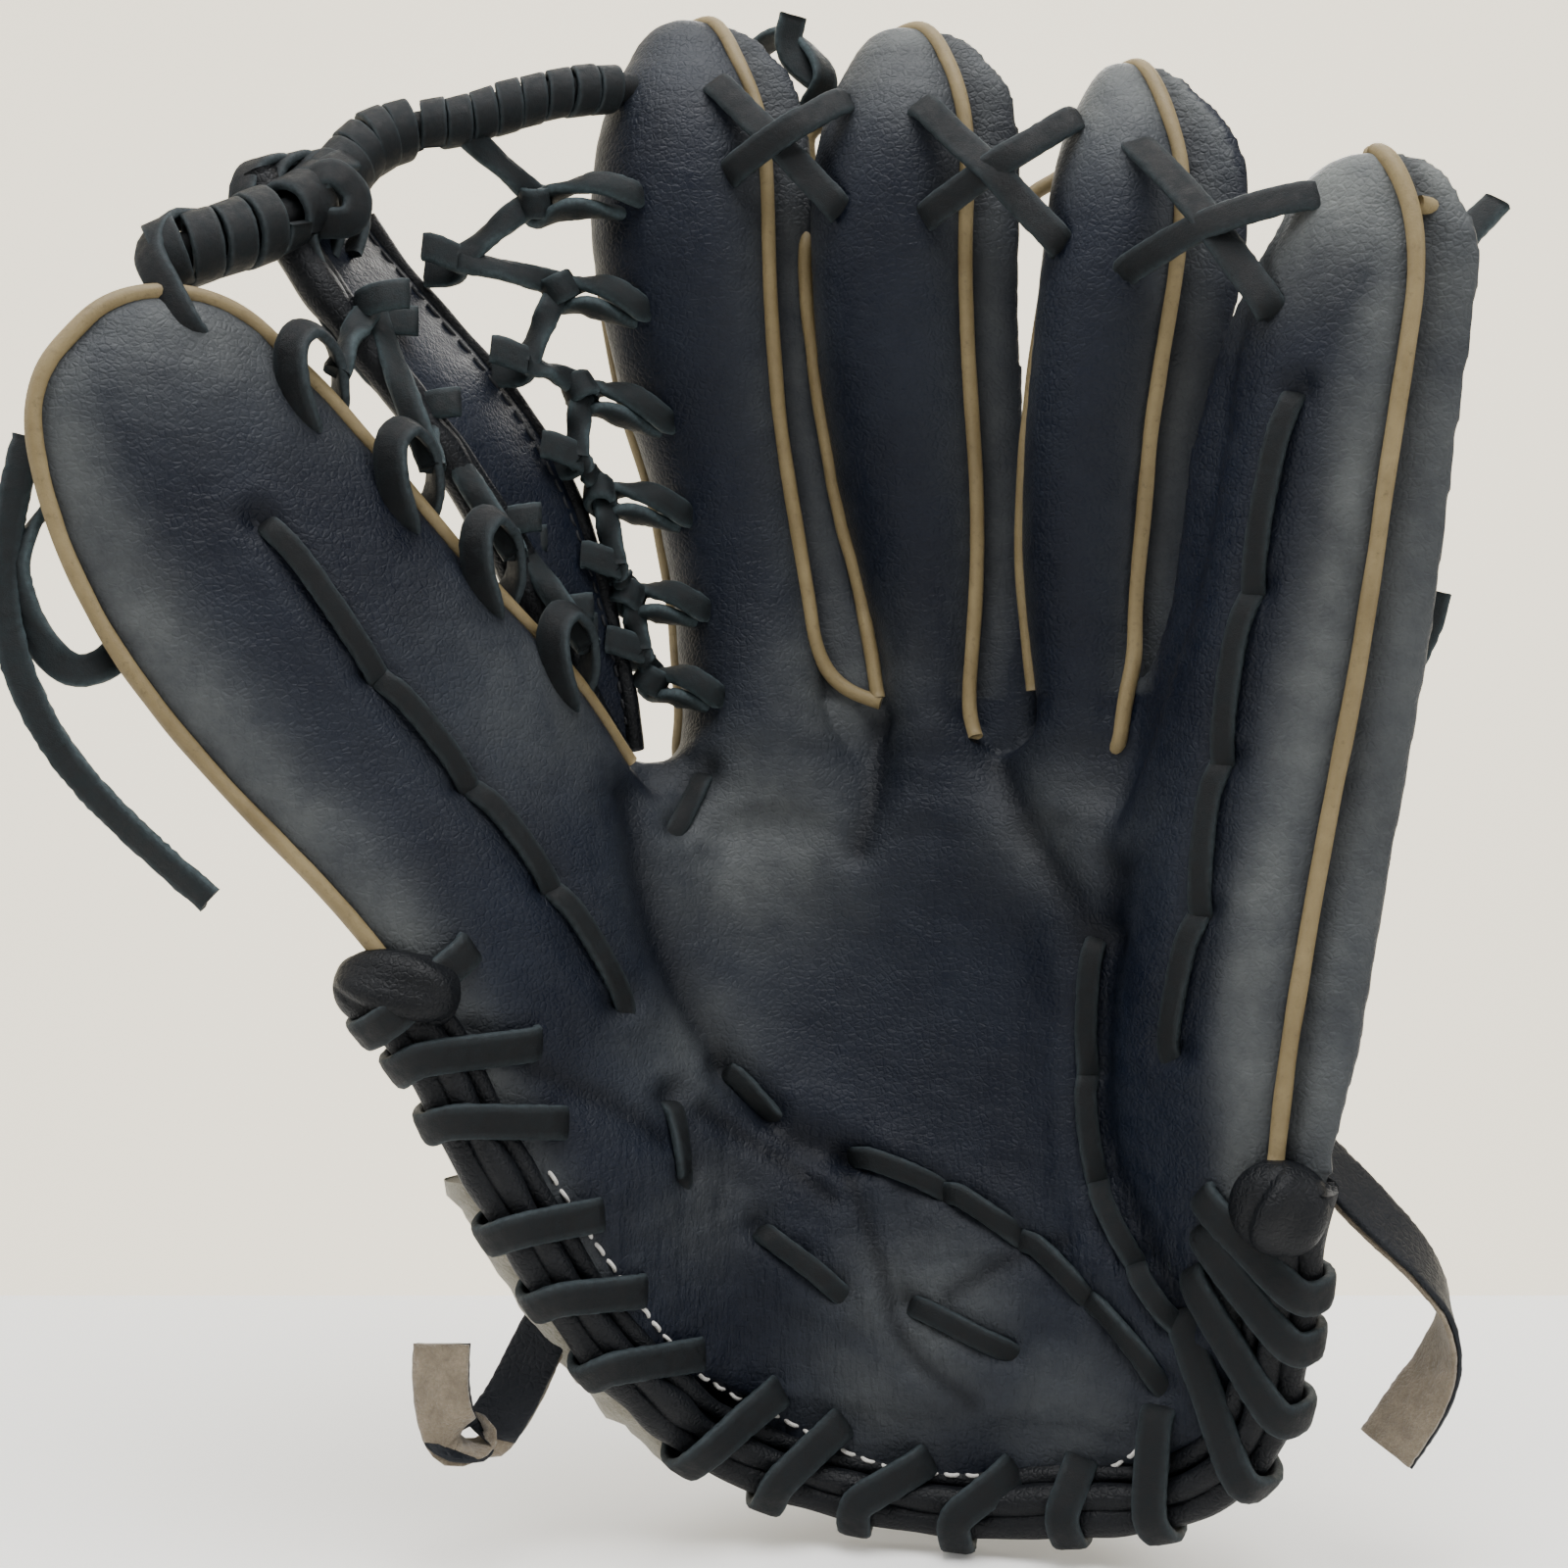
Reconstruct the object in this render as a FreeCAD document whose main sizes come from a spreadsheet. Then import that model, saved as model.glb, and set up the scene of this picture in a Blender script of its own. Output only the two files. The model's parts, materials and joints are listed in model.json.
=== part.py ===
"""Fielder's glove with a lattice web, worn on the left hand, as a parametric document.

Frame: millimetres, +Z up the fingers, the palm faces -Y, the little finger is on the +X side.
The origin is the middle of the wrist opening.  Each digit is a stall: a front and a back shell
lofted between stations on its two seam lines, a lining inside and a welt along the seam.
"""
import FreeCAD, Part
import Sketcher
import math
import os
from FreeCAD import Placement, Rotation, Vector

doc = FreeCAD.newDocument("fielders_glove")

# ---------------------------------------------------------------- driving dimensions

SIZES = {
    # overall grading of the pattern, as a cutter grades it: 1 is this glove
    "width_grade": 1.0,
    "depth_grade": 1.0,
    "height_grade": 1.0,
    # hides, paddings and their clearances
    "shell_wall": 3.0,
    "lining_wall": 1.0,
    "layer_gap": 0.3,
    "seam_gap": 0.3,
    "palm_hide": 3.0,
    "palm_felt": 4.5,
    "strap_hide": 3.0,
    "strap_fleece": 3.5,
    "strap_gap": 0.7,
    "crease_gap": 0.5,
    # trims
    "welt_diameter": 4.0,
    "lace_diameter": 4.2,
    "roll_diameter": 11.0,
    "knob_length": 22.0,
    "knob_width": 17.0,
    "loop_strap_width": 12.0,
    "loop_strap_thickness": 2.2,
    # web
    "post_roll_diameter": 8.0,
    "post_trim_diameter": 4.4,
    "crown_core_diameter": 5.0,
    "crown_wrap_diameter": 12.0,
    "crown_wrap_pitch": 5.0,
    "crown_wrap_hump": 1.2,
    # back window and strap patch
    "window_width": 50.0,
    "window_height": 26.0,
    "window_rise": 64.0,
    "patch_width": 30.0,
    "patch_height": 18.0,
    "patch_thickness": 1.5,
}

# Seam stations: height, left seam x and y, right seam x and y.
STATIONS = {
    "thumb": [
        (12, -27, -40, -15.8, -27),
        (35, -42, -50, -17.8, -22.5),
        (70, -60, -56, -22.6, -16.5),
        (100, -77, -64, -26.9, -11.3),
        (132, -105, -71, -33.4, -8),
        (165, -127, -77, -56, -31),
        (190, -135, -80, -78, -45),
        (206, -132, -79, -93, -54),
        (214, -122, -72, -104, -61),
    ],
    "index": [
        (128, -19.5, 16, 11.5, 5),
        (165, -23.5, 16, 7, 4.5),
        (205, -29, 13, 0, 2.5),
        (255, -38, 5, -3, -7),
        (280, -33, 5, -8, -4),
        (290, -26, 4, -15, 0),
    ],
    "middle": [
        (128, 21, 8, 42.5, -1.5),
        (165, 17, 7.5, 42, -3.5),
        (202, 13, 4.5, 41, -8),
        (248, 8.5, -6, 38.5, -19),
        (273, 12.5, -7, 37, -18),
        (285, 20, -9.5, 31, -14),
    ],
    "ring": [
        (128, 54.5, -7.5, 72, -18.5),
        (160, 53, -11.5, 73, -23.5),
        (193, 51.5, -16, 74.5, -30),
        (238, 54, -25, 79.5, -40),
        (261, 58, -25, 78.5, -37),
        (272, 64, -27, 73, -32.5),
    ],
    "little": [
        (4, 77.5, -43, 88, -54),
        (35, 75.5, -40, 92, -60),
        (70, 73.4, -36, 94, -67),
        (119, 70.9, -31.5, 102, -66),
        (165, 82, -45, 109, -71),
        (205, 90, -55, 113.5, -76),
        (232, 98, -61, 115.5, -77),
        (243, 104, -66, 112, -73.5),
    ],
    "hand": [
        (6, -14, 2, 80, -16),
        (40, -18, 4, 81, -16),
        (90, -21, 6, 79, -15),
        (127.5, -15, 9, 71, -14),
    ],
    "post": [
        (136, -39, 0, -33, 5),
        (160, -50, -13, -36.5, 0),
        (185, -62, -25, -43.5, -1),
        (210, -79, -36, -56, -4),
        (240, -100, -42, -82, -11),
        (253, -106, -41, -91, -14),
    ],
}

# How far the front and back shells bulge from the seam plane, as a share of the stall's width.
BULGE = {
    "thumb": (0.14, 0.22),
    "index": (0.36, 0.38),
    "middle": (0.37, 0.40),
    "ring": (0.40, 0.44),
    "little": (0.22, 0.42),
    "hand": (0.10, 0.35),
    "post": (0.07, 0.07),
}

# The first and last stations that a stall's cavity reaches, and the station where its back starts.
CAVITY = {"thumb": (2, 6), "index": (0, 4), "middle": (0, 4), "ring": (0, 4), "little": (2, 5)}
BACK_FROM = {"thumb": 2, "index": 0, "middle": 0, "ring": 0, "little": 2}
# The stations where the welt starts on the left seam and ends on the right.
WELT_FROM = {"thumb": (2, 4), "index": (0, 0), "middle": (0, 0), "ring": (0, 0), "little": (3, 2)}
FINGERS = ["index", "middle", "ring"]
DIGITS = ["thumb"] + FINGERS + ["little"]

# The two fold lines, where the thumb side and the little-finger side bend.
FOLDS = {
    "thumb_fold": {"low_rise": 0, "low_x": -12, "low_y": -28, "high_rise": 132, "high_x": -31, "high_y": -5},
    "little_fold": {"low_rise": 4, "low_x": 74, "low_y": -44, "high_rise": 119, "high_x": 67, "high_y": -30},
}

# Palm sections: height, and how much deeper the middle lies than the line between the two folds.
PALM = [(-10, 3), (20, 3), (60, 9), (100, 13), (127.5, 9)]

# The crease across the heel: its height where it meets each side, and the places of those two ends.
CREASE = {"crease_left_x": -13.5, "crease_left_rise": 70, "crease_right_x": 74, "crease_right_rise": 11}

sheet = doc.addObject("Spreadsheet::Sheet", "Size")
next_row = 1


def set_size(alias, value):
    """Write one plain number into the sheet under its own name."""
    global next_row
    sheet.set(f"A{next_row}", alias)
    sheet.set(f"B{next_row}", str(value))
    sheet.setAlias(f"B{next_row}", alias)
    next_row += 1


for size_name, size_value in SIZES.items():
    set_size(size_name, size_value)
for stall_name, stations in STATIONS.items():
    for number, station in enumerate(stations):
        for word, value in zip(("rise", "left_x", "left_y", "right_x", "right_y"), station):
            set_size(f"{stall_name}_{number}_{word}", value)
    set_size(f"{stall_name}_front_bulge", BULGE[stall_name][0])
    set_size(f"{stall_name}_back_bulge", BULGE[stall_name][1])
for fold_name, numbers in FOLDS.items():
    for word, value in numbers.items():
        set_size(f"{fold_name}_{word}", value)
for number, (rise, sag) in enumerate(PALM):
    set_size(f"palm_{number}_rise", rise)
    set_size(f"palm_{number}_sag", sag)
for crease_name, crease_value in CREASE.items():
    set_size(crease_name, crease_value)
doc.recompute()


def size(alias):
    """The number that the sheet holds under a name."""
    return float(sheet.get(alias))


def graded(x, y, z):
    """A pattern point at this glove's grade."""
    return Vector(x * size("width_grade"), y * size("depth_grade"), z * size("height_grade"))


# ---------------------------------------------------------------- stations and surfaces


class Station:
    """One horizontal section of a stall, as expressions for sketches and as numbers for paths."""

    def __init__(self, stall, number):
        self.stall = stall
        cell = f"Size.{stall}_{number}_"
        self.x = f"Size.width_grade * ({cell}left_x + {cell}right_x) / 2"
        self.y = f"Size.depth_grade * ({cell}left_y + {cell}right_y) / 2"
        self.z = f"Size.height_grade * {cell}rise"
        run = f"Size.width_grade * ({cell}right_x - {cell}left_x)"
        fall = f"Size.depth_grade * ({cell}right_y - {cell}left_y)"
        self.turn = f"atan2({fall}; {run})"
        self.width = f"hypot({run}; {fall})"
        word = f"{stall}_{number}_"
        self.rise = size(word + "rise") * size("height_grade")
        self.left = graded(size(word + "left_x"), size(word + "left_y"), size(word + "rise"))
        self.right = graded(size(word + "right_x"), size(word + "right_y"), size(word + "rise"))


def stations_of(stall, first=0, last=None):
    count = len(STATIONS[stall])
    last = count - 1 if last is None else last
    return [Station(stall, number) for number in range(first, last + 1)]


def seam_point(stall, rise, share):
    """A point on the seam plane at a height: share 0 is the left seam, 1 the right."""
    rows = stations_of(stall)
    low = rows[0]
    high = rows[1]
    for below, above in zip(rows, rows[1:]):
        low, high = below, above
        if rise <= above.rise:
            break
    part = (rise - low.rise) / (high.rise - low.rise)
    left = low.left + (high.left - low.left) * part
    right = low.right + (high.right - low.right) * part
    return left + (right - left) * share, left, right


def surface_point(stall, rise, share, side, lift=0.0):
    """A point on a stall's front (side -1) or back (side 1) surface, lifted off it."""
    height = rise * size("height_grade")
    point, left, right = seam_point(stall, height, share)
    across = right - left
    width = across.Length
    across.normalize()
    outward = Vector(-across.y, across.x, 0) * side
    bulge = size(f"{stall}_{'front' if side < 0 else 'back'}_bulge") * width
    radius = (width * width / 4 + bulge * bulge) / (2 * bulge)
    offset = (share - 0.5) * width
    depth = math.sqrt(radius * radius - offset * offset) - (radius - bulge)
    return point + outward * (depth + lift)


def fold_x_y(fold, rise):
    """Expressions for where a fold line stands at a height."""
    cell = f"Size.{fold}_"
    part = f"({rise} - {cell}low_rise) / ({cell}high_rise - {cell}low_rise)"
    return [f"({cell}low_{axis} + ({cell}high_{axis} - {cell}low_{axis}) * {part})" for axis in "xy"]


def fold_point(fold, rise):
    """A point on a fold line at a height, as numbers."""
    low, high = size(fold + "_low_rise"), size(fold + "_high_rise")
    part = (rise - low) / (high - low)
    x, y = [
        size(f"{fold}_low_{axis}") + (size(f"{fold}_high_{axis}") - size(f"{fold}_low_{axis}")) * part
        for axis in "xy"
    ]
    return graded(x, y, rise)


class PalmStation:
    """One horizontal section of the palm, from the thumb fold to the little-finger fold."""

    def __init__(self, number):
        rise = f"Size.palm_{number}_rise"
        left_x, left_y = fold_x_y("thumb_fold", rise)
        right_x, right_y = fold_x_y("little_fold", rise)
        run = f"(Size.width_grade * ({right_x} - {left_x}) - 2 * Size.crease_gap)"
        fall = f"(Size.depth_grade * ({right_y} - {left_y}))"
        self.x = f"Size.width_grade * ({left_x} + {right_x}) / 2"
        self.y = f"Size.depth_grade * ({left_y} + {right_y}) / 2"
        self.z = f"Size.height_grade * {rise}"
        self.turn = f"atan2({fall}; {run})"
        self.width = f"hypot({run}; {fall})"
        self.sag = f"Size.depth_grade * Size.palm_{number}_sag"
        gap = Vector(size("crease_gap"), 0, 0)
        self.left = fold_point("thumb_fold", size(f"palm_{number}_rise")) + gap
        self.right = fold_point("little_fold", size(f"palm_{number}_rise")) - gap
        self.sag_now = size("depth_grade") * size(f"palm_{number}_sag")


def palm_point(rise, share, lift=0.0):
    """A point on the palm's front: share 0 at the thumb fold, 1 at the little-finger fold."""
    left, right = fold_point("thumb_fold", rise), fold_point("little_fold", rise)
    sag = PALM[-1][1]
    for (low, low_sag), (high, high_sag) in zip(PALM, PALM[1:]):
        if rise <= high:
            sag = low_sag + (high_sag - low_sag) * (rise - low) / (high - low)
            break
    across = right - left
    half = across.Length / 2
    across.normalize()
    deeper = Vector(-across.y, across.x, 0)
    sag = sag * size("depth_grade")
    radius = (half * half + sag * sag) / (2 * sag)
    offset = (share - 0.5) * 2 * half
    depth = math.sqrt(radius * radius - offset * offset) - (radius - sag)
    return left + (right - left) * share + deeper * (depth - lift)


# ---------------------------------------------------------------- building blocks


def plane_of(body, role):
    for feature in body.Origin.OriginFeatures:
        if feature.Role == role:
            return feature


def new_body(label):
    body = doc.addObject("PartDesign::Body", label)
    body.Label = label
    return body


def placed_sketch(body, name, station):
    sketch = body.newObject("Sketcher::SketchObject", name)
    sketch.AttachmentSupport = [(plane_of(body, "XY_Plane"), "")]
    sketch.MapMode = "FlatFace"
    sketch.AttachmentOffset = Placement(Vector(), Rotation(Vector(0, 0, 1), 0))
    sketch.setExpression("AttachmentOffset.Base.x", station.x)
    sketch.setExpression("AttachmentOffset.Base.y", station.y)
    sketch.setExpression("AttachmentOffset.Base.z", station.z)
    sketch.setExpression("AttachmentOffset.Rotation.Angle", station.turn)
    return sketch


def arc_in(sketch, half, bulge, side, level):
    """An arc from seam to seam that bulges to one side of the seam plane."""
    radius = (half * half + bulge * bulge) / (2 * bulge)
    centre = Vector(0, level - side * (radius - bulge), 0)
    swing = math.atan2(radius - bulge, half)
    start, end = (swing, math.pi - swing) if side > 0 else (math.pi + swing, 2 * math.pi - swing)
    circle = Part.Circle(centre, Vector(0, 0, 1), radius)
    return sketch.addGeometry(Part.ArcOfCircle(circle, start, end), False)


def bind(sketch, constraint, expression):
    index = sketch.addConstraint(constraint)
    sketch.setExpression(f"Constraints[{index}]", expression)


def section(body, name, station, front, back, grow, seam_offset=""):
    """A stall section: a front arc, a back arc or, where one side is flat, the seam line.

    grow is an expression added to the half width and to both bulges.
    """
    sketch = placed_sketch(body, name, station)
    share = {-1: f"Size.{station.stall}_front_bulge", 1: f"Size.{station.stall}_back_bulge"}
    width = f"({station.width} + 2 * ({grow}))"
    half_now = ((station.right - station.left).Length + 2 * value_of(grow)) / 2
    level_now = value_of(seam_offset) if seam_offset else 0.0
    edges = []
    for side, wanted in ((-1, front), (1, back)):
        if wanted:
            bulge_now = size(share[side][5:]) * (station.right - station.left).Length + value_of(grow)
            edges.append((side, arc_in(sketch, half_now, bulge_now, side, level_now)))
    if len(edges) == 1:
        line = Part.LineSegment(Vector(-half_now, level_now, 0), Vector(half_now, level_now, 0))
        edges.append((0, sketch.addGeometry(line, False)))
    ends = {-1: (1, 2), 0: (1, 2), 1: (2, 1)}
    (side_a, edge_a), (side_b, edge_b) = edges
    for corner in (0, 1):
        sketch.addConstraint(
            Sketcher.Constraint("Coincident", edge_a, ends[side_a][corner], edge_b, ends[side_b][corner])
        )
    left, right = ends[side_a]
    bind(sketch, Sketcher.Constraint("DistanceX", edge_a, left, -1, 1, half_now), width + " / 2")
    bind(sketch, Sketcher.Constraint("DistanceX", -1, 1, edge_a, right, half_now), width + " / 2")
    for point in (left, right):
        if seam_offset:
            bind(sketch, Sketcher.Constraint("DistanceY", -1, 1, edge_a, point, level_now), seam_offset)
        else:
            sketch.addConstraint(Sketcher.Constraint("PointOnObject", edge_a, point, -1))
    for side, edge in edges:
        if side:
            bulge = f"({share[side]} * {station.width} + {grow})"
            radius_now = sketch.Geometry[edge].Radius
            radius = f"(({width} / 2)^2 + {bulge}^2) / (2 * {bulge})"
            bind(sketch, Sketcher.Constraint("Radius", edge, radius_now), radius)
    return sketch


def value_of(expression):
    """A sum of sheet names, each with its sign, as a number."""
    total = 0.0
    for term in expression.replace("-", "+-").split("+"):
        term = term.strip()
        if not term:
            continue
        sign = -1 if term.startswith("-") else 1
        term = term.lstrip("- ")
        total += sign * (size(term[5:]) if term.startswith("Size.") else halves(term))
    return total


def halves(term):
    """A plain number, or a sheet name over two written as half of it."""
    if term.startswith("0.5 * Size."):
        return 0.5 * size(term[11:])
    return float(term)


def loft(body, kind, name, sketches, ruled=False):
    feature = body.newObject("PartDesign::" + kind, name)
    feature.Profile = sketches[0]
    feature.Sections = sketches[1:]
    feature.Ruled = ruled
    body.Tip = feature
    return feature


def shell(label, stall, side, outer, inner, first, last, cavity):
    """A leather shell: its outer skin lofted solid, and the cavity lofted out of it.

    side is -1 for the front half, 1 for the back half and 0 for a sock that holds both.
    outer and inner are expressions of how far each skin lies outside the stall's own surface.
    """
    body = new_body(label)
    seam_offset = {-1: "-0.5 * Size.seam_gap", 0: "", 1: "0.5 * Size.seam_gap"}[side]
    rows = stations_of(stall, first, last)
    skins = [
        section(body, f"{label}_skin_{number}", row, side <= 0, side >= 0, outer, seam_offset)
        for number, row in enumerate(rows)
    ]
    loft(body, "AdditiveLoft", label + "_outer", skins)
    hollows = [
        section(body, f"{label}_hollow_{number}", row, True, True, inner)
        for number, row in enumerate(stations_of(stall, *cavity))
    ]
    loft(body, "SubtractiveLoft", label + "_cavity", hollows)
    return body


def strip(label, near, thickness, count=len(PALM)):
    """A curved layer of the palm: near is how far it lies behind the palm's front."""
    body = new_body(label)
    sketches = []
    for number in range(count):
        station = PalmStation(number)
        sketch = placed_sketch(body, f"{label}_section_{number}", station)
        half = (station.right - station.left).Length / 2
        levels = [(near, value_of(near)), (f"{near} + {thickness}", value_of(f"{near} + {thickness}"))]
        arcs = [arc_in(sketch, half, station.sag_now, 1, level) for expression, level in levels]
        lines = []
        for end in (half, -half):
            line = Part.LineSegment(Vector(end, levels[0][1], 0), Vector(end, levels[1][1], 0))
            lines.append(sketch.addGeometry(line, False))
        for line, arc_end in zip(lines, (1, 2)):
            for line_end, arc in ((1, arcs[0]), (2, arcs[1])):
                sketch.addConstraint(Sketcher.Constraint("Coincident", line, line_end, arc, arc_end))
        for arc, (expression, level) in zip(arcs, levels):
            bind(sketch, Sketcher.Constraint("DistanceX", -1, 1, arc, 1, half), f"{station.width} / 2")
            bind(sketch, Sketcher.Constraint("DistanceX", arc, 2, -1, 1, half), f"{station.width} / 2")
            for arc_end in (1, 2):
                bind(sketch, Sketcher.Constraint("DistanceY", -1, 1, arc, arc_end, level), expression)
            radius = f"(({station.width} / 2)^2 + ({station.sag})^2) / (2 * {station.sag})"
            bind(sketch, Sketcher.Constraint("Radius", arc, sketch.Geometry[arc].Radius), radius)
        sketches.append(sketch)
    loft(body, "AdditiveLoft", label + "_layer", sketches)
    return body


def solid_feature(label, shape):
    """A piece whose shape comes from a path, which no sketched feature fits."""
    feature = doc.addObject("Part::Feature", label)
    feature.Label = label
    feature.Shape = shape
    feature.Placement = Placement()
    return feature


smallest_bend = {}


def tube(label, points, diameter, share=0.45):
    """A round tube along straight runs joined by tangent arcs as large as the runs allow."""
    points = [Vector(p) for p in points]
    edges = []
    start = points[0]
    least = None
    for before, corner, after in zip(points, points[1:], points[2:]):
        into = corner - before
        out = after - corner
        turn = into.getAngle(out)
        reach = share * min(into.Length, out.Length)
        radius = reach / math.tan(turn / 2)
        least = radius if least is None else min(least, radius)
        into.normalize()
        out.normalize()
        arc_start = corner - into * reach
        arc_end = corner + out * reach
        inward = (out - into).normalize()
        middle = corner + inward * (radius / math.cos(turn / 2) - radius)
        edges.append(Part.LineSegment(start, arc_start).toShape())
        edges.append(Part.Arc(arc_start, middle, arc_end).toShape())
        start = arc_end
    edges.append(Part.LineSegment(start, points[-1]).toShape())
    path = Part.Wire(edges)
    smallest_bend[label] = least
    tangent = (points[1] - points[0]).normalize()
    disc = Part.Wire([Part.Circle(points[0], tangent, diameter / 2).toShape()])
    solid = path.makePipeShell([disc], True, False)
    shape = solid if solid.ShapeType == "Solid" else solid.Solids[0]
    expected = math.pi * diameter * diameter / 4 * path.Length
    if abs(shape.Volume / expected - 1) > 0.03:
        print("tube volume differs:", label, shape.Volume, expected)
    return solid_feature(label, shape)


def wrap(label, core, fronts, reach, diameter):
    """A lace wound round a roll: four corners to a turn, square to the roll's run."""
    points = []
    for index, (point, front) in enumerate(zip(core, fronts)):
        along = core[min(index + 1, len(core) - 1)] - core[max(index - 1, 0)]
        along.normalize()
        outward = along.cross(front)
        outward.normalize()
        step = (core[min(index + 1, len(core) - 1)] - core[max(index - 1, 0)]).Length / 2 / 4
        for quarter, way in enumerate((outward * -1, front, outward, front * -1)):
            points.append(point + way * reach + along * (quarter - 1.5) * step)
    return tube(label, points, diameter)


def along_path(points, count):
    """Evenly spaced points on a polyline."""
    lengths = [0.0]
    for a, b in zip(points, points[1:]):
        lengths.append(lengths[-1] + (b - a).Length)
    out = []
    for index in range(count):
        target = lengths[-1] * index / (count - 1)
        for k in range(len(points) - 1):
            if target <= lengths[k + 1] + 1e-9:
                part = (target - lengths[k]) / (lengths[k + 1] - lengths[k])
                out.append(points[k] + (points[k + 1] - points[k]) * part)
                break
    return out


def outline_cut(body, name, corners):
    """Cut the body through, front to back, inside an outline of corners."""
    sketch = body.newObject("Sketcher::SketchObject", name + "_outline")
    sketch.AttachmentSupport = [(plane_of(body, "XZ_Plane"), "")]
    sketch.MapMode = "FlatFace"
    count = len(corners)
    for a, b in zip(corners, corners[1:] + corners[:1]):
        sketch.addGeometry(Part.LineSegment(a, b), False)
    for k in range(count):
        sketch.addConstraint(Sketcher.Constraint("Coincident", k, 2, (k + 1) % count, 1))
    pocket = body.newObject("PartDesign::Pocket", name)
    pocket.Profile = sketch
    pocket.Type = "ThroughAll"
    pocket.Midplane = True
    body.Tip = pocket


def trim_to_crease(body, keep_above):
    """Cut a palm layer off along the crease, leaving half the layer gap on each side."""
    far, gap = 150.0, size("layer_gap") / 2
    left_x = size("crease_left_x") * size("width_grade")
    right_x = size("crease_right_x") * size("width_grade")
    left_z = size("crease_left_rise") * size("height_grade")
    right_z = size("crease_right_rise") * size("height_grade")
    slope = (right_z - left_z) / (right_x - left_x)
    shift = gap if keep_above else -gap
    edge = -2 * far if keep_above else 2 * far
    at_left = left_z + slope * (-far - left_x) + shift
    at_right = left_z + slope * (far - left_x) + shift
    corners = [(-far, at_left), (far, at_right), (far, edge), (-far, edge)]
    outline_cut(body, body.Label + "_crease_edge", [Vector(x, z, 0) for x, z in corners])


def cut_below(body, rise):
    """Open a stall's mouth: nothing of the body is left below a height."""
    far = 300.0
    corners = [(-far, -far), (far, -far), (far, rise), (-far, rise)]
    outline_cut(body, body.Label + "_mouth", [Vector(x, z, 0) for x, z in corners])


def doubled(label, stall, side):
    """A flat leather layer between a stall's seam lines, with no cavity."""
    body = new_body(label)
    seam_offset = {-1: "-0.5 * Size.seam_gap", 1: "0.5 * Size.seam_gap"}[side]
    skins = [
        section(body, f"{label}_skin_{number}", row, side < 0, side > 0, "0", seam_offset)
        for number, row in enumerate(stations_of(stall))
    ]
    loft(body, "AdditiveLoft", label + "_layer", skins)
    return body


def band(label, points, width, thickness, across):
    """A flat strap swept along a path, its width held along one direction."""
    points = [Vector(p) for p in points]
    curve = Part.BSplineCurve()
    curve.interpolate(points)
    path = Part.Wire([curve.toShape()])
    across = Vector(across).normalize()
    start = points[0]
    tangent = curve.tangent(curve.FirstParameter)[0]
    side = (across - tangent * across.dot(tangent)).normalize()
    up = tangent.cross(side)
    corners = [(1, 1), (-1, 1), (-1, -1), (1, -1)]
    loop = [start + side * (a * width / 2) + up * (b * thickness / 2) for a, b in corners]
    profile = Part.makePolygon(loop + loop[:1])
    sweep = Part.BRepOffsetAPI.MakePipeShell(path)
    sweep.setBiNormalMode(across)
    sweep.add(profile)
    sweep.build()
    sweep.makeSolid()
    return solid_feature(label, sweep.shape())


# ---------------------------------------------------------------- the five stalls

for digit in DIGITS:
    first, last = CAVITY[digit]
    start = BACK_FROM[digit]
    lining = "- Size.shell_wall - Size.layer_gap"
    lining_inside = lining + " - Size.lining_wall"
    shell(digit + "_front", digit, -1, "0", "- Size.shell_wall", 0, None, (first, last))
    back = shell(digit + "_back", digit, 1, "0", "- Size.shell_wall", 0, None, (first, last))
    if start:
        cut_below(back, size(f"{digit}_{start}_rise") * size("height_grade"))
    shell(digit + "_lining", digit, 0, lining, lining_inside, first, last, (first, last - 1))


def welt(digit):
    """The piping that is sewn into the seam: up the left seam, over the tip, down the right."""
    left_from, right_from = WELT_FROM[digit]
    path = [row.left for row in stations_of(digit, left_from)]
    path += [row.right for row in reversed(stations_of(digit, right_from))]
    return tube(digit + "_welt", path, size("welt_diameter"), 0.4)


for digit in DIGITS:
    welt(digit)

# ---------------------------------------------------------------- palm, heel and back of the hand

palm_shell = strip("palm_shell", "0", "Size.palm_hide")
trim_to_crease(palm_shell, keep_above=True)
heel_shell = strip("heel_shell", "0", "Size.palm_hide")
trim_to_crease(heel_shell, keep_above=False)
behind_hide = "Size.palm_hide + Size.layer_gap"
strip("palm_felt", behind_hide, "Size.palm_felt")
strip("palm_lining", behind_hide + " + Size.palm_felt + Size.layer_gap", "Size.lining_wall")

hand_back = shell("hand_back", "hand", 1, "0", "- Size.strap_hide", 0, None, (0, None))
strap_outside = "Size.strap_gap + Size.strap_hide"
shell("wrist_strap", "hand", 1, strap_outside, "Size.strap_gap", 0, 1, (0, 1))
fleece_outside = "- Size.strap_hide - Size.strap_gap"
shell("strap_fleece", "hand", 1, fleece_outside, fleece_outside + " - Size.strap_fleece", 0, 1, (0, 1))


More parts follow.
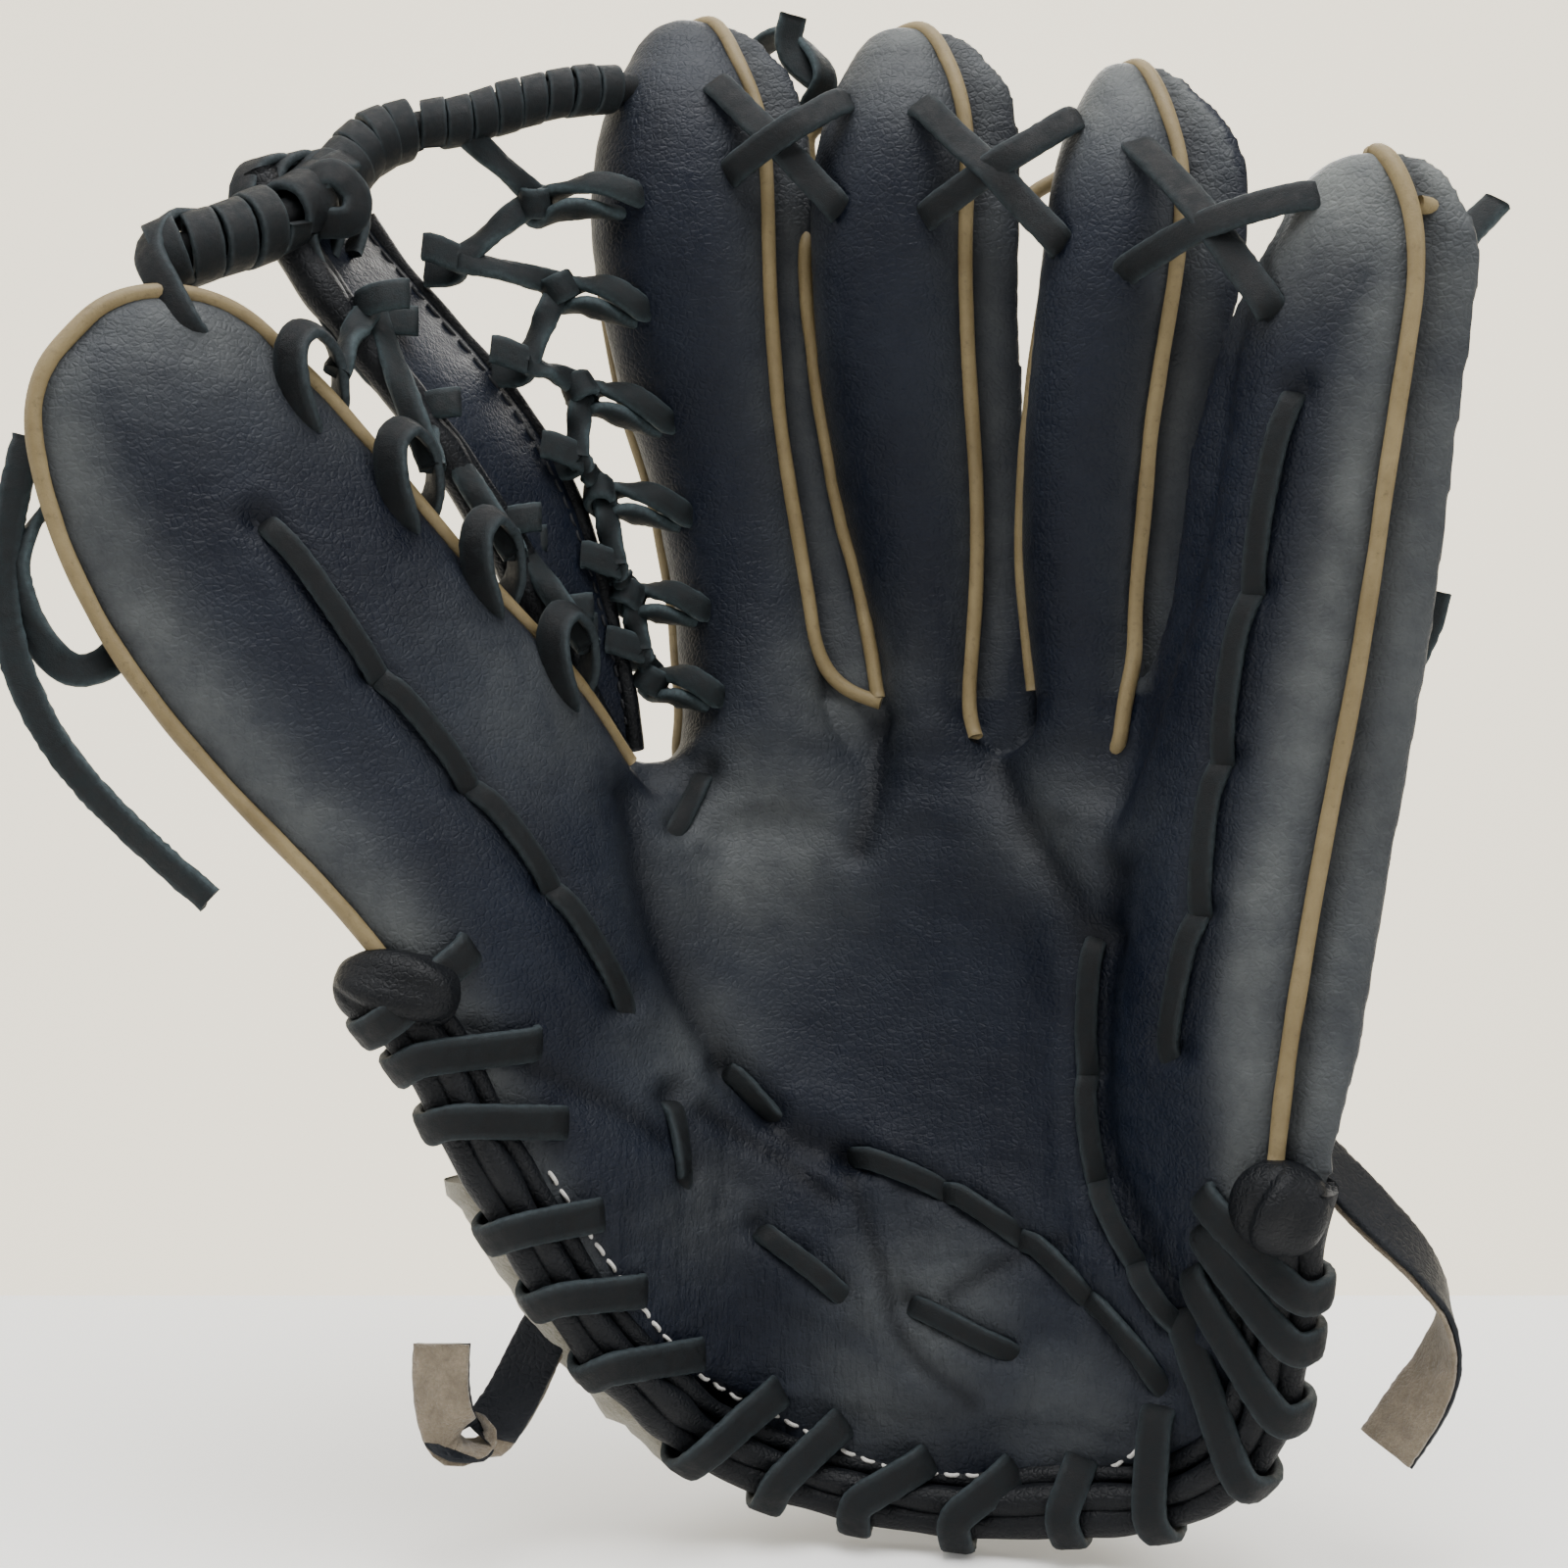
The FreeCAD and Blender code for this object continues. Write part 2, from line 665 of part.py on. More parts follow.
def cut_window(body):
    """The opening in the back that lets the wrist flex, as wide as three fingers."""
    sketch = body.newObject("Sketcher::SketchObject", "window_outline")
    sketch.AttachmentSupport = [(plane_of(body, "XZ_Plane"), "")]
    sketch.MapMode = "FlatFace"
    middle = seam_point("hand", size("window_rise") * size("height_grade"), 0.5)[0].x
    half, radius = size("window_width") / 2, size("window_height") / 2
    rise = size("window_rise") * size("height_grade")
    straight = half - radius
    for sign in (1, -1):
        a = Vector(middle - sign * straight, rise - sign * radius, 0)
        b = Vector(middle + sign * straight, rise - sign * radius, 0)
        sketch.addGeometry(Part.LineSegment(a, b), False)
        centre = Vector(middle + sign * straight, rise, 0)
        circle = Part.Circle(centre, Vector(0, 0, 1), radius)
        start = -math.pi / 2 if sign > 0 else math.pi / 2
        sketch.addGeometry(Part.ArcOfCircle(circle, start, start + math.pi), False)
    for k in range(4):
        sketch.addConstraint(Sketcher.Constraint("Coincident", k, 2, (k + 1) % 4, 1))
    pocket = body.newObject("PartDesign::Pocket", "window")
    pocket.Profile = sketch
    pocket.Type = "ThroughAll"
    pocket.Midplane = True
    body.Tip = pocket


cut_window(hand_back)
patch_inside = strap_outside + " + Size.layer_gap"
strap_patch = shell(
    "strap_patch", "hand", 1, patch_inside + " + Size.patch_thickness", patch_inside, 0, 1, (0, 1)
)


def keep_rectangle(body, middle, width, height):
    """Cut everything away but a rectangle, seen from the back."""
    sketch = body.newObject("Sketcher::SketchObject", body.Label + "_outline")
    sketch.AttachmentSupport = [(plane_of(body, "XZ_Plane"), "")]
    sketch.MapMode = "FlatFace"
    far = 200.0
    for half_w, half_h in ((far, far), (width / 2, height / 2)):
        start = sketch.GeometryCount
        corners = [(-1, -1), (1, -1), (1, 1), (-1, 1)]
        corners = [Vector(middle.x + a * half_w, middle.z + b * half_h, 0) for a, b in corners]
        for a, b in zip(corners, corners[1:] + corners[:1]):
            sketch.addGeometry(Part.LineSegment(a, b), False)
        for k in range(4):
            sketch.addConstraint(Sketcher.Constraint("Coincident", start + k, 2, start + (k + 1) % 4, 1))
    pocket = body.newObject("PartDesign::Pocket", body.Label + "_cut")
    pocket.Profile = sketch
    pocket.Type = "ThroughAll"
    pocket.Midplane = True
    body.Tip = pocket


patch_rise = (size("hand_0_rise") + size("hand_1_rise")) / 2 * size("height_grade")
keep_rectangle(strap_patch, seam_point("hand", patch_rise, 0.5)[0], size("patch_width"), size("patch_height"))

# ---------------------------------------------------------------- heel rolls and their lace

roll = size("roll_diameter")
lace = size("lace_diameter")
ROLL_OUT = 0.36  # how far a roll's middle stands outside its seam, as a share of the roll
ROLL_UNDER = 0.3  # how far the middle roll hangs under the palm's edge, as a share of the roll
LACE_CLEAR = 0.62  # how far a lace's middle stands off a roll, as a share of the lace


def outside_seam(stall, rise, share, distance):
    """A point beyond a seam, in the seam plane."""
    point, left, right = seam_point(stall, rise * size("height_grade"), share)
    across = (right - left).normalize()
    return point + across * (distance if share > 0.5 else -distance)


thumb_roll = [outside_seam("thumb", rise, 0, roll * ROLL_OUT) for rise in (90, 65, 40, 16)]
thumb_roll.append(graded(-21, -39, 1))
little_roll = [outside_seam("little", rise, 1, roll * ROLL_OUT) for rise in (58, 40, 23, 7)]
little_roll.append(graded(82, -54, -7))
middle_roll = [palm_point(size("palm_0_rise"), share) for share in (0.04, 0.26, 0.48, 0.7, 0.9)]
middle_drop = (5.5, 0, -2.5, -1.5, 4.0)
middle_roll = [p + Vector(0, 0, drop - roll * ROLL_UNDER) for p, drop in zip(middle_roll, middle_drop)]
tube("heel_roll_thumb", thumb_roll, roll)
tube("heel_roll_middle", middle_roll, roll)
tube("heel_roll_little", little_roll, roll)


def heel_lace(label, path, turns, front):
    core = along_path(path, turns + 2)[1:-1]
    return wrap(label, core, [Vector(front).normalize()] * len(core), roll * 0.5 + lace * LACE_CLEAR, lace)


heel_lace("heel_lace_thumb", thumb_roll, 6, (-0.55, -0.83, 0))
heel_lace("heel_lace_middle", middle_roll, 6, (0, -1, 0))
heel_lace("heel_lace_little", little_roll, 5, (0.45, -0.89, 0))


def knob(label, centre, along):
    """The folded leather end of a heel roll."""
    shape = doc.addObject("Part::Ellipsoid", label)
    shape.Label = label
    shape.setExpression("Radius1", "Size.knob_length / 2")
    shape.setExpression("Radius2", "Size.knob_width / 2")
    shape.setExpression("Radius3", "Size.knob_width / 2")
    shape.Angle1 = -90
    shape.Angle2 = 90
    shape.Angle3 = 360
    shape.Placement = Placement(centre, Rotation(Vector(0, 0, 1), along))
    return shape


knob("heel_knob_thumb", thumb_roll[0], thumb_roll[0] - thumb_roll[1])
knob("heel_knob_little", little_roll[0], little_roll[0] - little_roll[1])

# ---------------------------------------------------------------- laces on the faces

tube("thumb_panel_lace", [
    surface_point("thumb", rise, share, -1, 0.6)
    for rise, share in ((178, 0.47), (158, 0.50), (139, 0.53), (120, 0.58), (98, 0.64), (76, 0.70))
], lace)
tube("little_panel_lace", [
    surface_point("little", rise, share, -1, 0.6)
    for rise, share in ((204, 0.34), (176, 0.30), (148, 0.27), (121, 0.22), (95, 0.20))
], lace)
tube("crease_lace", [
    palm_point(rise, share, 0.6)
    for rise, share in ((50, 0.36), (47, 0.48), (40, 0.61), (30, 0.73), (19, 0.84), (8, 0.93))
], lace)


def tip_lace(label, left_stall, right_stall, left_rise, right_rise):
    """The lace that ties two neighbouring finger tips, through the front of each."""
    ends = [
        surface_point(left_stall, left_rise + 9, 0.42, -1, 0.5),
        surface_point(left_stall, left_rise, 0.80, -1, 1.5),
        surface_point(right_stall, right_rise, 0.12, -1, 1.5),
        surface_point(right_stall, right_rise - 9, 0.50, -1, 0.5),
    ]
    return tube(label, ends, lace)


tip_lace("index_middle_lace", "index", "middle", 262, 258)
tip_lace("middle_ring_lace", "middle", "ring", 254, 250)
ring_end = surface_point("ring", 246, 0.45, -1, 0.5)
ring_side = surface_point("ring", 241, 0.88, -1, 2.0)
tube("ring_little_lace", [ring_end, ring_side, ring_side + Vector(7, -4, 1)], lace)

# ---------------------------------------------------------------- web

doubled("web_post_front", "post", -1)
doubled("web_post_back", "post", 1)
post_rows = stations_of("post")
tube("web_binding_left", [row.left for row in post_rows], size("post_roll_diameter"))
tube("web_binding_right", [row.right for row in post_rows], size("post_trim_diameter"))


def whip(label, stall, share, rises, reach, outs, depth=5.0):
    """A lace whipped over a seam: in front of it, out to a point beyond it, and behind it."""
    points = []
    for rise, out in zip(rises, outs):
        point, left, right = seam_point(stall, rise * size("height_grade"), share)
        across = (right - left).normalize()
        outward = across * (1 if share > 0.5 else -1)
        back = Vector(-across.y, across.x, 0)
        points.append(point - outward * reach - back * depth + Vector(0, 0, 2.5))
        points.append(point + outward * out)
        points.append(point - outward * reach + back * depth - Vector(0, 0, 2.5))
    return tube(label, points, lace)


thumb_holes = (198, 184, 170, 156)
post_holes = (200, 186, 172, 158)
index_holes = (262, 246, 229, 212, 195, 178, 161)
whip("thumb_web_lace", "thumb", 1, thumb_holes, 3.0, (11, 11, 10, 8))
whip("web_post_lace", "post", 0, post_holes, 4.0, (18, 17.2, 15.2, 13.2), 5.5)
whip("index_web_lace", "index", 0, index_holes, 3.0, (8,) * 7)
whip("web_lattice_lace", "post", 1, (222, 208, 194, 180, 166), 3.0, (16, 14, 11, 9, 8), 4.5)

crown = [graded(*p) for p in (
    (-104, -66, 221), (-98, -50, 243), (-96, -30, 255), (-80, -16, 264), (-57, -13, 273),
)]
tube("crown_core", crown, size("crown_core_diameter"))


def crown_wrap(label, start, end, count, first):
    """A stack of lace turns round the crown, revolved from a row of rounded humps."""
    body = new_body(label)
    sketch = body.newObject("Sketcher::SketchObject", label + "_profile")
    sketch.AttachmentSupport = [(plane_of(body, "XZ_Plane"), "")]
    sketch.MapMode = "FlatFace"
    inner = size("crown_core_diameter") / 2 + size("layer_gap") / 2
    root = size("crown_wrap_diameter") / 2 - size("crown_wrap_hump")
    pitch = size("crown_wrap_pitch")
    hump = size("crown_wrap_hump")
    radius = (pitch * pitch / 4 + hump * hump) / (2 * hump)
    swing = math.asin(pitch / 2 / radius)
    corners = [Vector(root, 0, 0), Vector(inner, 0, 0), Vector(inner, count * pitch, 0)]
    corners.append(Vector(root, count * pitch, 0))
    for a, b in zip(corners, corners[1:]):
        sketch.addGeometry(Part.LineSegment(a, b), False)
    for k in reversed(range(count)):
        centre = Vector(root + hump - radius, (k + 0.5) * pitch, 0)
        circle = Part.Circle(centre, Vector(0, 0, 1), radius)
        sketch.addGeometry(Part.ArcOfCircle(circle, -swing, swing), False)
    for k in range(2):
        sketch.addConstraint(Sketcher.Constraint("Coincident", k, 2, k + 1, 1))
    sketch.addConstraint(Sketcher.Constraint("Coincident", 2, 2, 3, 2))
    for k in range(3, 2 + count):
        sketch.addConstraint(Sketcher.Constraint("Coincident", k, 1, k + 1, 2))
    sketch.addConstraint(Sketcher.Constraint("Coincident", 2 + count, 1, 0, 1))
    revolution = body.newObject("PartDesign::Revolution", label + "_turns")
    revolution.Profile = sketch
    revolution.ReferenceAxis = (sketch, ["V_Axis"])
    revolution.Angle = 360
    body.Tip = revolution
    along = (end - start).normalize()
    body.Placement = Placement(start + along * first, Rotation(Vector(0, 0, 1), along))


crown_wrap("crown_wrap_thumb", crown[0], crown[1], 3, 1.5)
crown_wrap("crown_wrap_index", crown[3], crown[4], 3, 7.0)

# ---------------------------------------------------------------- straps and free lace ends

strap_width, strap_thickness = size("loop_strap_width"), size("loop_strap_thickness")
band("thumb_loop_strap", [graded(*p) for p in (
    (-44, -43, 26), (-50, -42, 20), (-54, -43, 10), (-58, -46, 2), (-63, -48, -1), (-65, -50, 5),
)], strap_width, strap_thickness, (0.5, -0.8, 0.2))
strap_root = surface_point("little", 76, 0.72, 1, strap_thickness)
band("little_loop_strap", [strap_root] + [graded(*p) for p in (
    (106, -48, 65), (114, -51, 49), (117, -53, 34), (114, -54, 20), (108, -55, 10),
)], strap_width, strap_thickness, (0.3, -0.9, 0.3))
tube("thumb_lace_tail", [graded(*p) for p in (
    (-137, -77, 193), (-141, -78, 176), (-141, -79, 158), (-133, -79, 138), (-118, -78, 121),
    (-104, -77, 109),
)], lace)
tube("little_lace_end_upper", [graded(*p) for p in ((113, -62, 222), (122, -60, 228), (131, -58, 238))], lace)
tube("little_lace_end_lower", [graded(*p) for p in ((111, -58, 146), (118, -56, 151), (123, -55, 161))], lace)

doc.recompute()

# ---------------------------------------------------------------- check and write

failed = []
for item in doc.Objects:
    if "Invalid" in item.State or "Error" in item.State:
        failed.append(item.Label + " " + ",".join(item.State))
pieces = [o for o in doc.Objects if o.TypeId == "PartDesign::Body"]
pieces += [o for o in doc.Objects if o.TypeId in ("Part::Feature", "Part::Ellipsoid")]
for piece in pieces:
    if piece.Shape.isNull() or not piece.Shape.isValid():
        failed.append(piece.Label + " shape")
if failed:
    raise RuntimeError("these objects failed: " + "; ".join(failed))
os.makedirs("parts", exist_ok=True)
for piece in pieces:
    piece.Shape.exportStep(f"parts/{piece.Label}.step")
print(len(pieces), "pieces written")
for label, radius in smallest_bend.items():
    if radius is not None:
        print(f"{label}: smallest bend {radius:.1f} mm")
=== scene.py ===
"""Looks of a fielder's glove with a lattice web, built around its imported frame.

Lengths are in millimetres until a mesh is made, and then in metres, in the frame's own axes:
+Z up the fingers, the palm faces -Y and the little finger is on the +X side.
"""
import json
import math

import bpy
import numpy as np
import openvdb as vdb
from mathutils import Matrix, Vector, noise
from mathutils.bvhtree import BVHTree

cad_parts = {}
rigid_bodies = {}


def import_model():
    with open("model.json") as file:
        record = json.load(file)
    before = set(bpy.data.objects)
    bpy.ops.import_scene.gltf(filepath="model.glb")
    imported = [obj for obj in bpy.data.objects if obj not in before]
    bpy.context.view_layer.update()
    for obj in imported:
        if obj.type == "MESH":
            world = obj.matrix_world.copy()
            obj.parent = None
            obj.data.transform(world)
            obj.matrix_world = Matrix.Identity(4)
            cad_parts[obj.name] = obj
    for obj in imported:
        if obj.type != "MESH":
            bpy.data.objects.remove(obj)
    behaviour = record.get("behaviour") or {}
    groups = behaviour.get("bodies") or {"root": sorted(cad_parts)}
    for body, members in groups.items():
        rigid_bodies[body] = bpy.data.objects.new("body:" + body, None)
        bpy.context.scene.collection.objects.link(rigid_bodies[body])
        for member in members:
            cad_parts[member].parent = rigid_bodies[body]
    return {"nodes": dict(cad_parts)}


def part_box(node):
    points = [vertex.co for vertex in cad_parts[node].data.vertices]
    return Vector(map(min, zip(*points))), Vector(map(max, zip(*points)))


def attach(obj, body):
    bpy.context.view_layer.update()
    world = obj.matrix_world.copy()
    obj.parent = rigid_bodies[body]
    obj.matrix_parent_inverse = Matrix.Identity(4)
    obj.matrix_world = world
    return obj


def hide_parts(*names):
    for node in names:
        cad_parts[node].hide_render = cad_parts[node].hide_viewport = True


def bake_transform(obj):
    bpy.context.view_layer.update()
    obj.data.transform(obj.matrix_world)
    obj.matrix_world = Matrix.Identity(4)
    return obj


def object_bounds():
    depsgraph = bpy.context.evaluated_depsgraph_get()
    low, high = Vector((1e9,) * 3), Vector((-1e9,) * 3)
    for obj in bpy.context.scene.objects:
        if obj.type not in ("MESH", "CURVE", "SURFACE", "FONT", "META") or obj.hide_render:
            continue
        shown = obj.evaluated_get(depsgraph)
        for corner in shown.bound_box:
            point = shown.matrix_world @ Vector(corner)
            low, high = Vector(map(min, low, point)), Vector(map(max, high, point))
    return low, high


for start_object in list(bpy.data.objects):
    bpy.data.objects.remove(start_object)
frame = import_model()
cad_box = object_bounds()
MM = 0.001
PITCH = 1.25
rng = np.random.default_rng(12)


# ---------------------------------------------------------------- numbers read from the frame

def triangles(node):
    """A node's triangles as an array of corners, in millimetres."""
    mesh = frame["nodes"][node].data
    mesh.calc_loop_triangles()
    points = np.empty(len(mesh.vertices) * 3)
    mesh.vertices.foreach_get("co", points)
    index = np.empty(len(mesh.loop_triangles) * 3, np.int32)
    mesh.loop_triangles.foreach_get("vertices", index)
    return points.reshape(-1, 3)[index].reshape(-1, 3, 3) / MM


def cut(corners, rise):
    """Where the triangles cross a height, as x and y."""
    high = corners[:, :, 2] - rise
    found = []
    for a, b in ((0, 1), (1, 2), (2, 0)):
        crosses = high[:, a] * high[:, b] < 0
        share = (high[crosses, a] / (high[crosses, a] - high[crosses, b]))[:, None]
        found.append(corners[crosses, a, :2] * (1 - share) + corners[crosses, b, :2] * share)
    return np.concatenate(found)


def box(node):
    low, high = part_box(node)
    return np.array(low) / MM, np.array(high) / MM


ANGLES = np.radians(np.arange(-80, 80, 2))
DIRECTIONS = np.array([np.cos(ANGLES), np.sin(ANGLES)])


class Stall:
    """A digit's sections: its two seams and how far its front and back stand off the line between them."""

    def __init__(
        self, name, side_bulge=0.0, least_back=6.0, round_tip=0.0,
        taller=0.0, left_out=0.0, left_bulge=0.0, base_in=0.0,
    ):
        self.name, self.side_bulge, self.left_bulge = name, side_bulge, left_bulge
        corners = np.concatenate([triangles(name + "_front"), triangles(name + "_back")])
        self.low, self.high = corners[..., 2].min() + 0.6, corners[..., 2].max() - 0.4
        rows = []
        for rise in np.linspace(self.low, self.high, 60):
            points = cut(corners, rise)
            reach = points @ DIRECTIONS
            widest = np.ptp(reach, axis=0).argmax()
            ends = points[reach[:, widest].argmin()], points[reach[:, widest].argmax()]
            left, right = sorted(ends, key=lambda p: p[0])
            across = (right - left) / np.linalg.norm(right - left)
            off = (points - left) @ np.array([across[1], -across[0]])
            rows.append((rise, *left, *right, off.max(), max(-off.min(), least_back)))
        self.rows = np.array(rows)
        for column in range(1, 7):
            padded = np.pad(self.rows[:, column], 2, mode="edge")
            self.rows[:, column] = np.convolve(padded, np.ones(5) / 5, "valid")
        self.rows[0, 1:5] = rows[0][1:5]
        if taller:
            start = self.high - 40
            self.rows[:, 0] += np.clip(self.rows[:, 0] - start, 0, None) * taller / 40
            self.high += taller
        self.rows[:, 1] -= left_out * np.clip((self.rows[:, 0] - 165) / 50, 0, 1)
        self.rows[:, 1] += base_in * np.clip((195 - self.rows[:, 0]) / 40, 0, 1)
        if round_tip:
            self.fill_tip(round_tip)

    def fill_tip(self, reach):
        """Widens the last stretch to a round finger end."""
        start = self.high - reach
        left, right, front, back = self.at(start)
        full = np.linalg.norm(right - left) / 2
        for row in self.rows[self.rows[:, 0] > start]:
            wanted = full * (1 - ((row[0] - start) / (reach + 3.0)) ** 2.5) ** 0.4
            middle, half = (row[1:3] + row[3:5]) / 2, np.linalg.norm(row[3:5] - row[1:3]) / 2
            grown = max(1.0, wanted / half)
            row[1:3] = middle + (row[1:3] - middle) * grown
            row[3:5] = middle + (row[3:5] - middle) * grown
            row[5] = max(row[5], front * wanted / full)
            row[6] = max(row[6], back * wanted / full)

    def at(self, rise):
        """Left seam, right seam, front depth and back depth at a height."""
        values = [np.interp(rise, self.rows[:, 0], self.rows[:, k]) for k in range(1, 7)]
        return np.array(values[:2]), np.array(values[2:4]), values[4], values[5]

    def seam(self, rise, share, lift=0.0):
        """A point between the seams, lifted towards the palm side, as x, y and z."""
        left, right, _, _ = self.at(rise)
        across = (right - left) / np.linalg.norm(right - left)
        point = left + (right - left) * share + np.array([across[1], -across[0]]) * lift
        return np.array([point[0], point[1], rise])


THREE_FINGERS = ("index", "middle", "ring")
STALLS = {
    "thumb": Stall("thumb", least_back=7.0, taller=3.5),
    "index": Stall("index", 11.5, round_tip=34, taller=4.5, left_out=4.0),
    "middle": Stall("middle", 12.5, round_tip=34, taller=3.0, left_out=2.5, base_in=4.5),
    "ring": Stall("ring", 14.0, round_tip=32, taller=2.0),
    "little": Stall("little", 11.5, 7.0, 32, left_out=4.5, left_bulge=13.0),
}

# ---------------------------------------------------------------- the leather, as a distance field

lowest, highest = (np.array(corner) / MM for corner in cad_box)
origin = lowest - 9
counts = np.ceil((highest - lowest + 18) / PITCH).astype(int)
xs, ys, zs = (origin[k] + np.arange(counts[k]) * PITCH for k in range(3))
FAR = 30.0  # the largest distance that a field holds


def joined(a, b, radius):
    """The smooth union of two fields."""
    share = np.clip(0.5 + 0.5 * (b - a) / radius, 0, 1)
    return b * (1 - share) + a * share - radius * share * (1 - share)


def oval(stall, rise, shrink, bulges=True):
    """Distance to one section of a stall, over the grid's x and y."""
    left, right, front, back = stall.at(rise)
    centre, half = (left + right) / 2, np.linalg.norm(right - left) / 2
    across = (right - left) / (2 * half)
    forward = np.array([across[1], -across[0]])
    if rise > stall.high - 3:  # the tip closes in a dome
        dome = math.sqrt(max(0.0, 1 - ((rise - stall.high + 3) / 6.5) ** 2))
        half, front, back = half * dome, front * dome, back * dome
    x, y = xs[:, None] - centre[0], ys[None, :] - centre[1]
    along = x * across[0] + y * across[1]
    off = x * forward[0] + y * forward[1]
    depth = np.maximum(np.where(off > 0, front, back) - shrink, 0.4)
    height = np.clip(-off / depth, 0, 1)
    at_base = np.clip((172 - rise) / 25, 0, 1) * (stall.name in THREE_FINGERS)
    right_bulge = stall.side_bulge * (1 + 0.9 * at_base)
    narrowing = 1 - 0.55 * np.clip((rise - 195) / 35, 0, 1)
    left_bulge = stall.left_bulge * np.clip((rise - 120) / 30, 0, 1) * narrowing
    extra = np.where(along > 0, right_bulge, left_bulge) * bulges
    extra = extra * np.sin(np.pi * np.minimum(height * 1.15, 1))
    half = np.maximum(half - shrink + extra * min(1, half / 14), 0.4)
    reach = np.sqrt((along / half) ** 2 + (off / depth) ** 2) + 1e-6
    slope = np.sqrt((along / half**2) ** 2 + (off / depth**2) ** 2) + 1e-6
    return np.clip(reach * (reach - 1) / slope, -FAR, FAR)


def stall_field(stall, shrink=0.0, bulges=True):
    """A stall's field on the whole grid, closed at both ends."""
    field = np.full(tuple(counts), FAR, np.float32)
    low, high = stall.low, stall.high + 3.4
    for k, rise in enumerate(zs):
        past = max(low - rise, rise - high)
        if past < 8:
            inside = oval(stall, min(max(rise, low), high), shrink, bulges)
            field[:, :, k] = np.maximum(inside, past)
    return field


def surface_over(nodes, towards, smooth=9):
    """A node's outer height field y(x, z), spread past its edges, with its left and right edges."""
    corners = np.concatenate([triangles(n) for n in nodes])
    low, high = corners[..., 2].min() + 0.4, corners[..., 2].max() - 0.4
    rows, edges = [], []
    bins = np.arange(lowest[0], highest[0], 2.0)
    for rise in np.clip(zs, low, high):
        points = cut(corners, rise)
        edges.append((points[:, 0].min(), points[:, 0].max()))
        slots = np.digitize(points[:, 0], bins)
        best = np.full(len(bins) + 1, -np.inf)
        np.maximum.at(best, slots, points[:, 1] * towards)
        used = np.flatnonzero(np.isfinite(best))
        rows.append(np.interp(xs, bins[0] + 2.0 * used - 1.0, best[used] * towards))
    field, edges = np.array(rows).T, np.array(edges)
    kernel = np.hanning(smooth + 2)[1:-1]
    kernel /= kernel.sum()
    reach = smooth // 2
    for axis in (0, 1):
        spread = [(0, 0), (0, 0)]
        spread[axis] = (reach, reach)
        field = np.apply_along_axis(
            lambda line: np.convolve(line, kernel, "valid"), axis, np.pad(field, spread, mode="edge")
        )
    edges = np.stack([
        np.convolve(np.pad(edges[:, k], reach, mode="edge"), kernel, "valid") for k in (0, 1)
    ], axis=1)
    return field, edges


PADDED = 8.5  # hide, felt and lining of the palm
LEATHER = 4.0  # the back of the hand
STALL_WALL = 5.0  # a stall's hide, felt and lining
PARTING = 1.6  # left between the ring and little fingers, which move apart
palm_front, palm_edges = surface_over(["palm_shell", "heel_shell"], -1, 13)
arch_back, arch_edges = surface_over(["hand_back"], 1)
heel_roll = triangles("heel_roll_middle").reshape(-1, 3)
bands = np.linspace(heel_roll[:, 0].min() + 4, heel_roll[:, 0].max() - 4, 12)
roll_rise = [heel_roll[np.abs(heel_roll[:, 0] - x) < 6][:, 2].mean() for x in bands]
heel_low = np.interp(xs, bands, roll_rise)
X, Y = xs[:, None, None], ys[None, :, None]
Z = zs[None, None, :]
palm_front += 0.0105 * np.clip(zs[None, :] - 106, 0, 30) ** 2  # it falls back to meet the fingers
slope_x, slope_z = np.gradient(palm_front, PITCH)
steep = np.sqrt(1 + slope_x**2 + slope_z**2)[:, None, :]
in_front = (palm_front[:, None, :] - Y) / steep
sides = np.maximum(palm_edges[:, 0] - xs[:, None], xs[:, None] - palm_edges[:, 1])[:, None, :]
palm = np.maximum(in_front, -in_front - PADDED)
palm = np.maximum(palm, sides - 5)
palm = np.maximum(palm, np.maximum(heel_low[:, None, None] - Z, Z - 134)).astype(np.float32)

arch_top = box("hand_back")[1][2]
arch_low = box("hand_back")[0][2]
behind = Y - arch_back[:, None, :]
arch_sides = np.maximum(arch_edges[:, 0] - xs[:, None], xs[:, None] - arch_edges[:, 1])[:, None, :]
arch = np.maximum(np.maximum(in_front, behind), arch_sides)
arch = np.maximum(arch, np.maximum(arch_low - Z, Z - arch_top - 8)).astype(np.float32)
hollow = np.maximum(np.maximum(in_front + PADDED, behind + LEATHER), arch_sides + 2 * LEATHER)
hollow = np.maximum(hollow, Z - 122).astype(np.float32)

fields = {name: stall_field(stall) for name, stall in STALLS.items()}
skin = joined(palm, fields["thumb"], 18.0)
skin = joined(skin, fields["little"], 18.0)
skin = joined(skin, arch, 5.0)
fingers = np.minimum(np.minimum(fields["index"], fields["middle"]), fields["ring"])
fingers = np.where(Z > 148, np.maximum(fingers, PARTING - fields["little"]), fingers)
skin = joined(skin, fingers, 11.0)
for name, low, high in (
    ("thumb", 40, 165), ("index", 116, 255), ("middle", 116, 250), ("ring", 116, 240), ("little", 40, 205),
):
    inside = stall_field(STALLS[name], STALL_WALL, False)
    hollow = np.minimum(hollow, np.maximum(inside, np.maximum(low - Z, Z - high)))
WINDOW = (30.0, 64.0, 25.0, 13.0)
window = np.hypot(np.maximum(np.abs(X - WINDOW[0]) - (WINDOW[2] - WINDOW[3]), 0), Z - WINDOW[1]) - WINDOW[3]
window = np.maximum(window, 5.0 - Y)
skin = np.maximum(skin, -joined(hollow, window.astype(np.float32), 1.0))

grid = vdb.FloatGrid(FAR)
grid.copyFromArray(np.ascontiguousarray(skin, np.float32))
points, quads = grid.convertToQuads(0.0)[:2]
points = np.asarray(points, float) * PITCH + origin


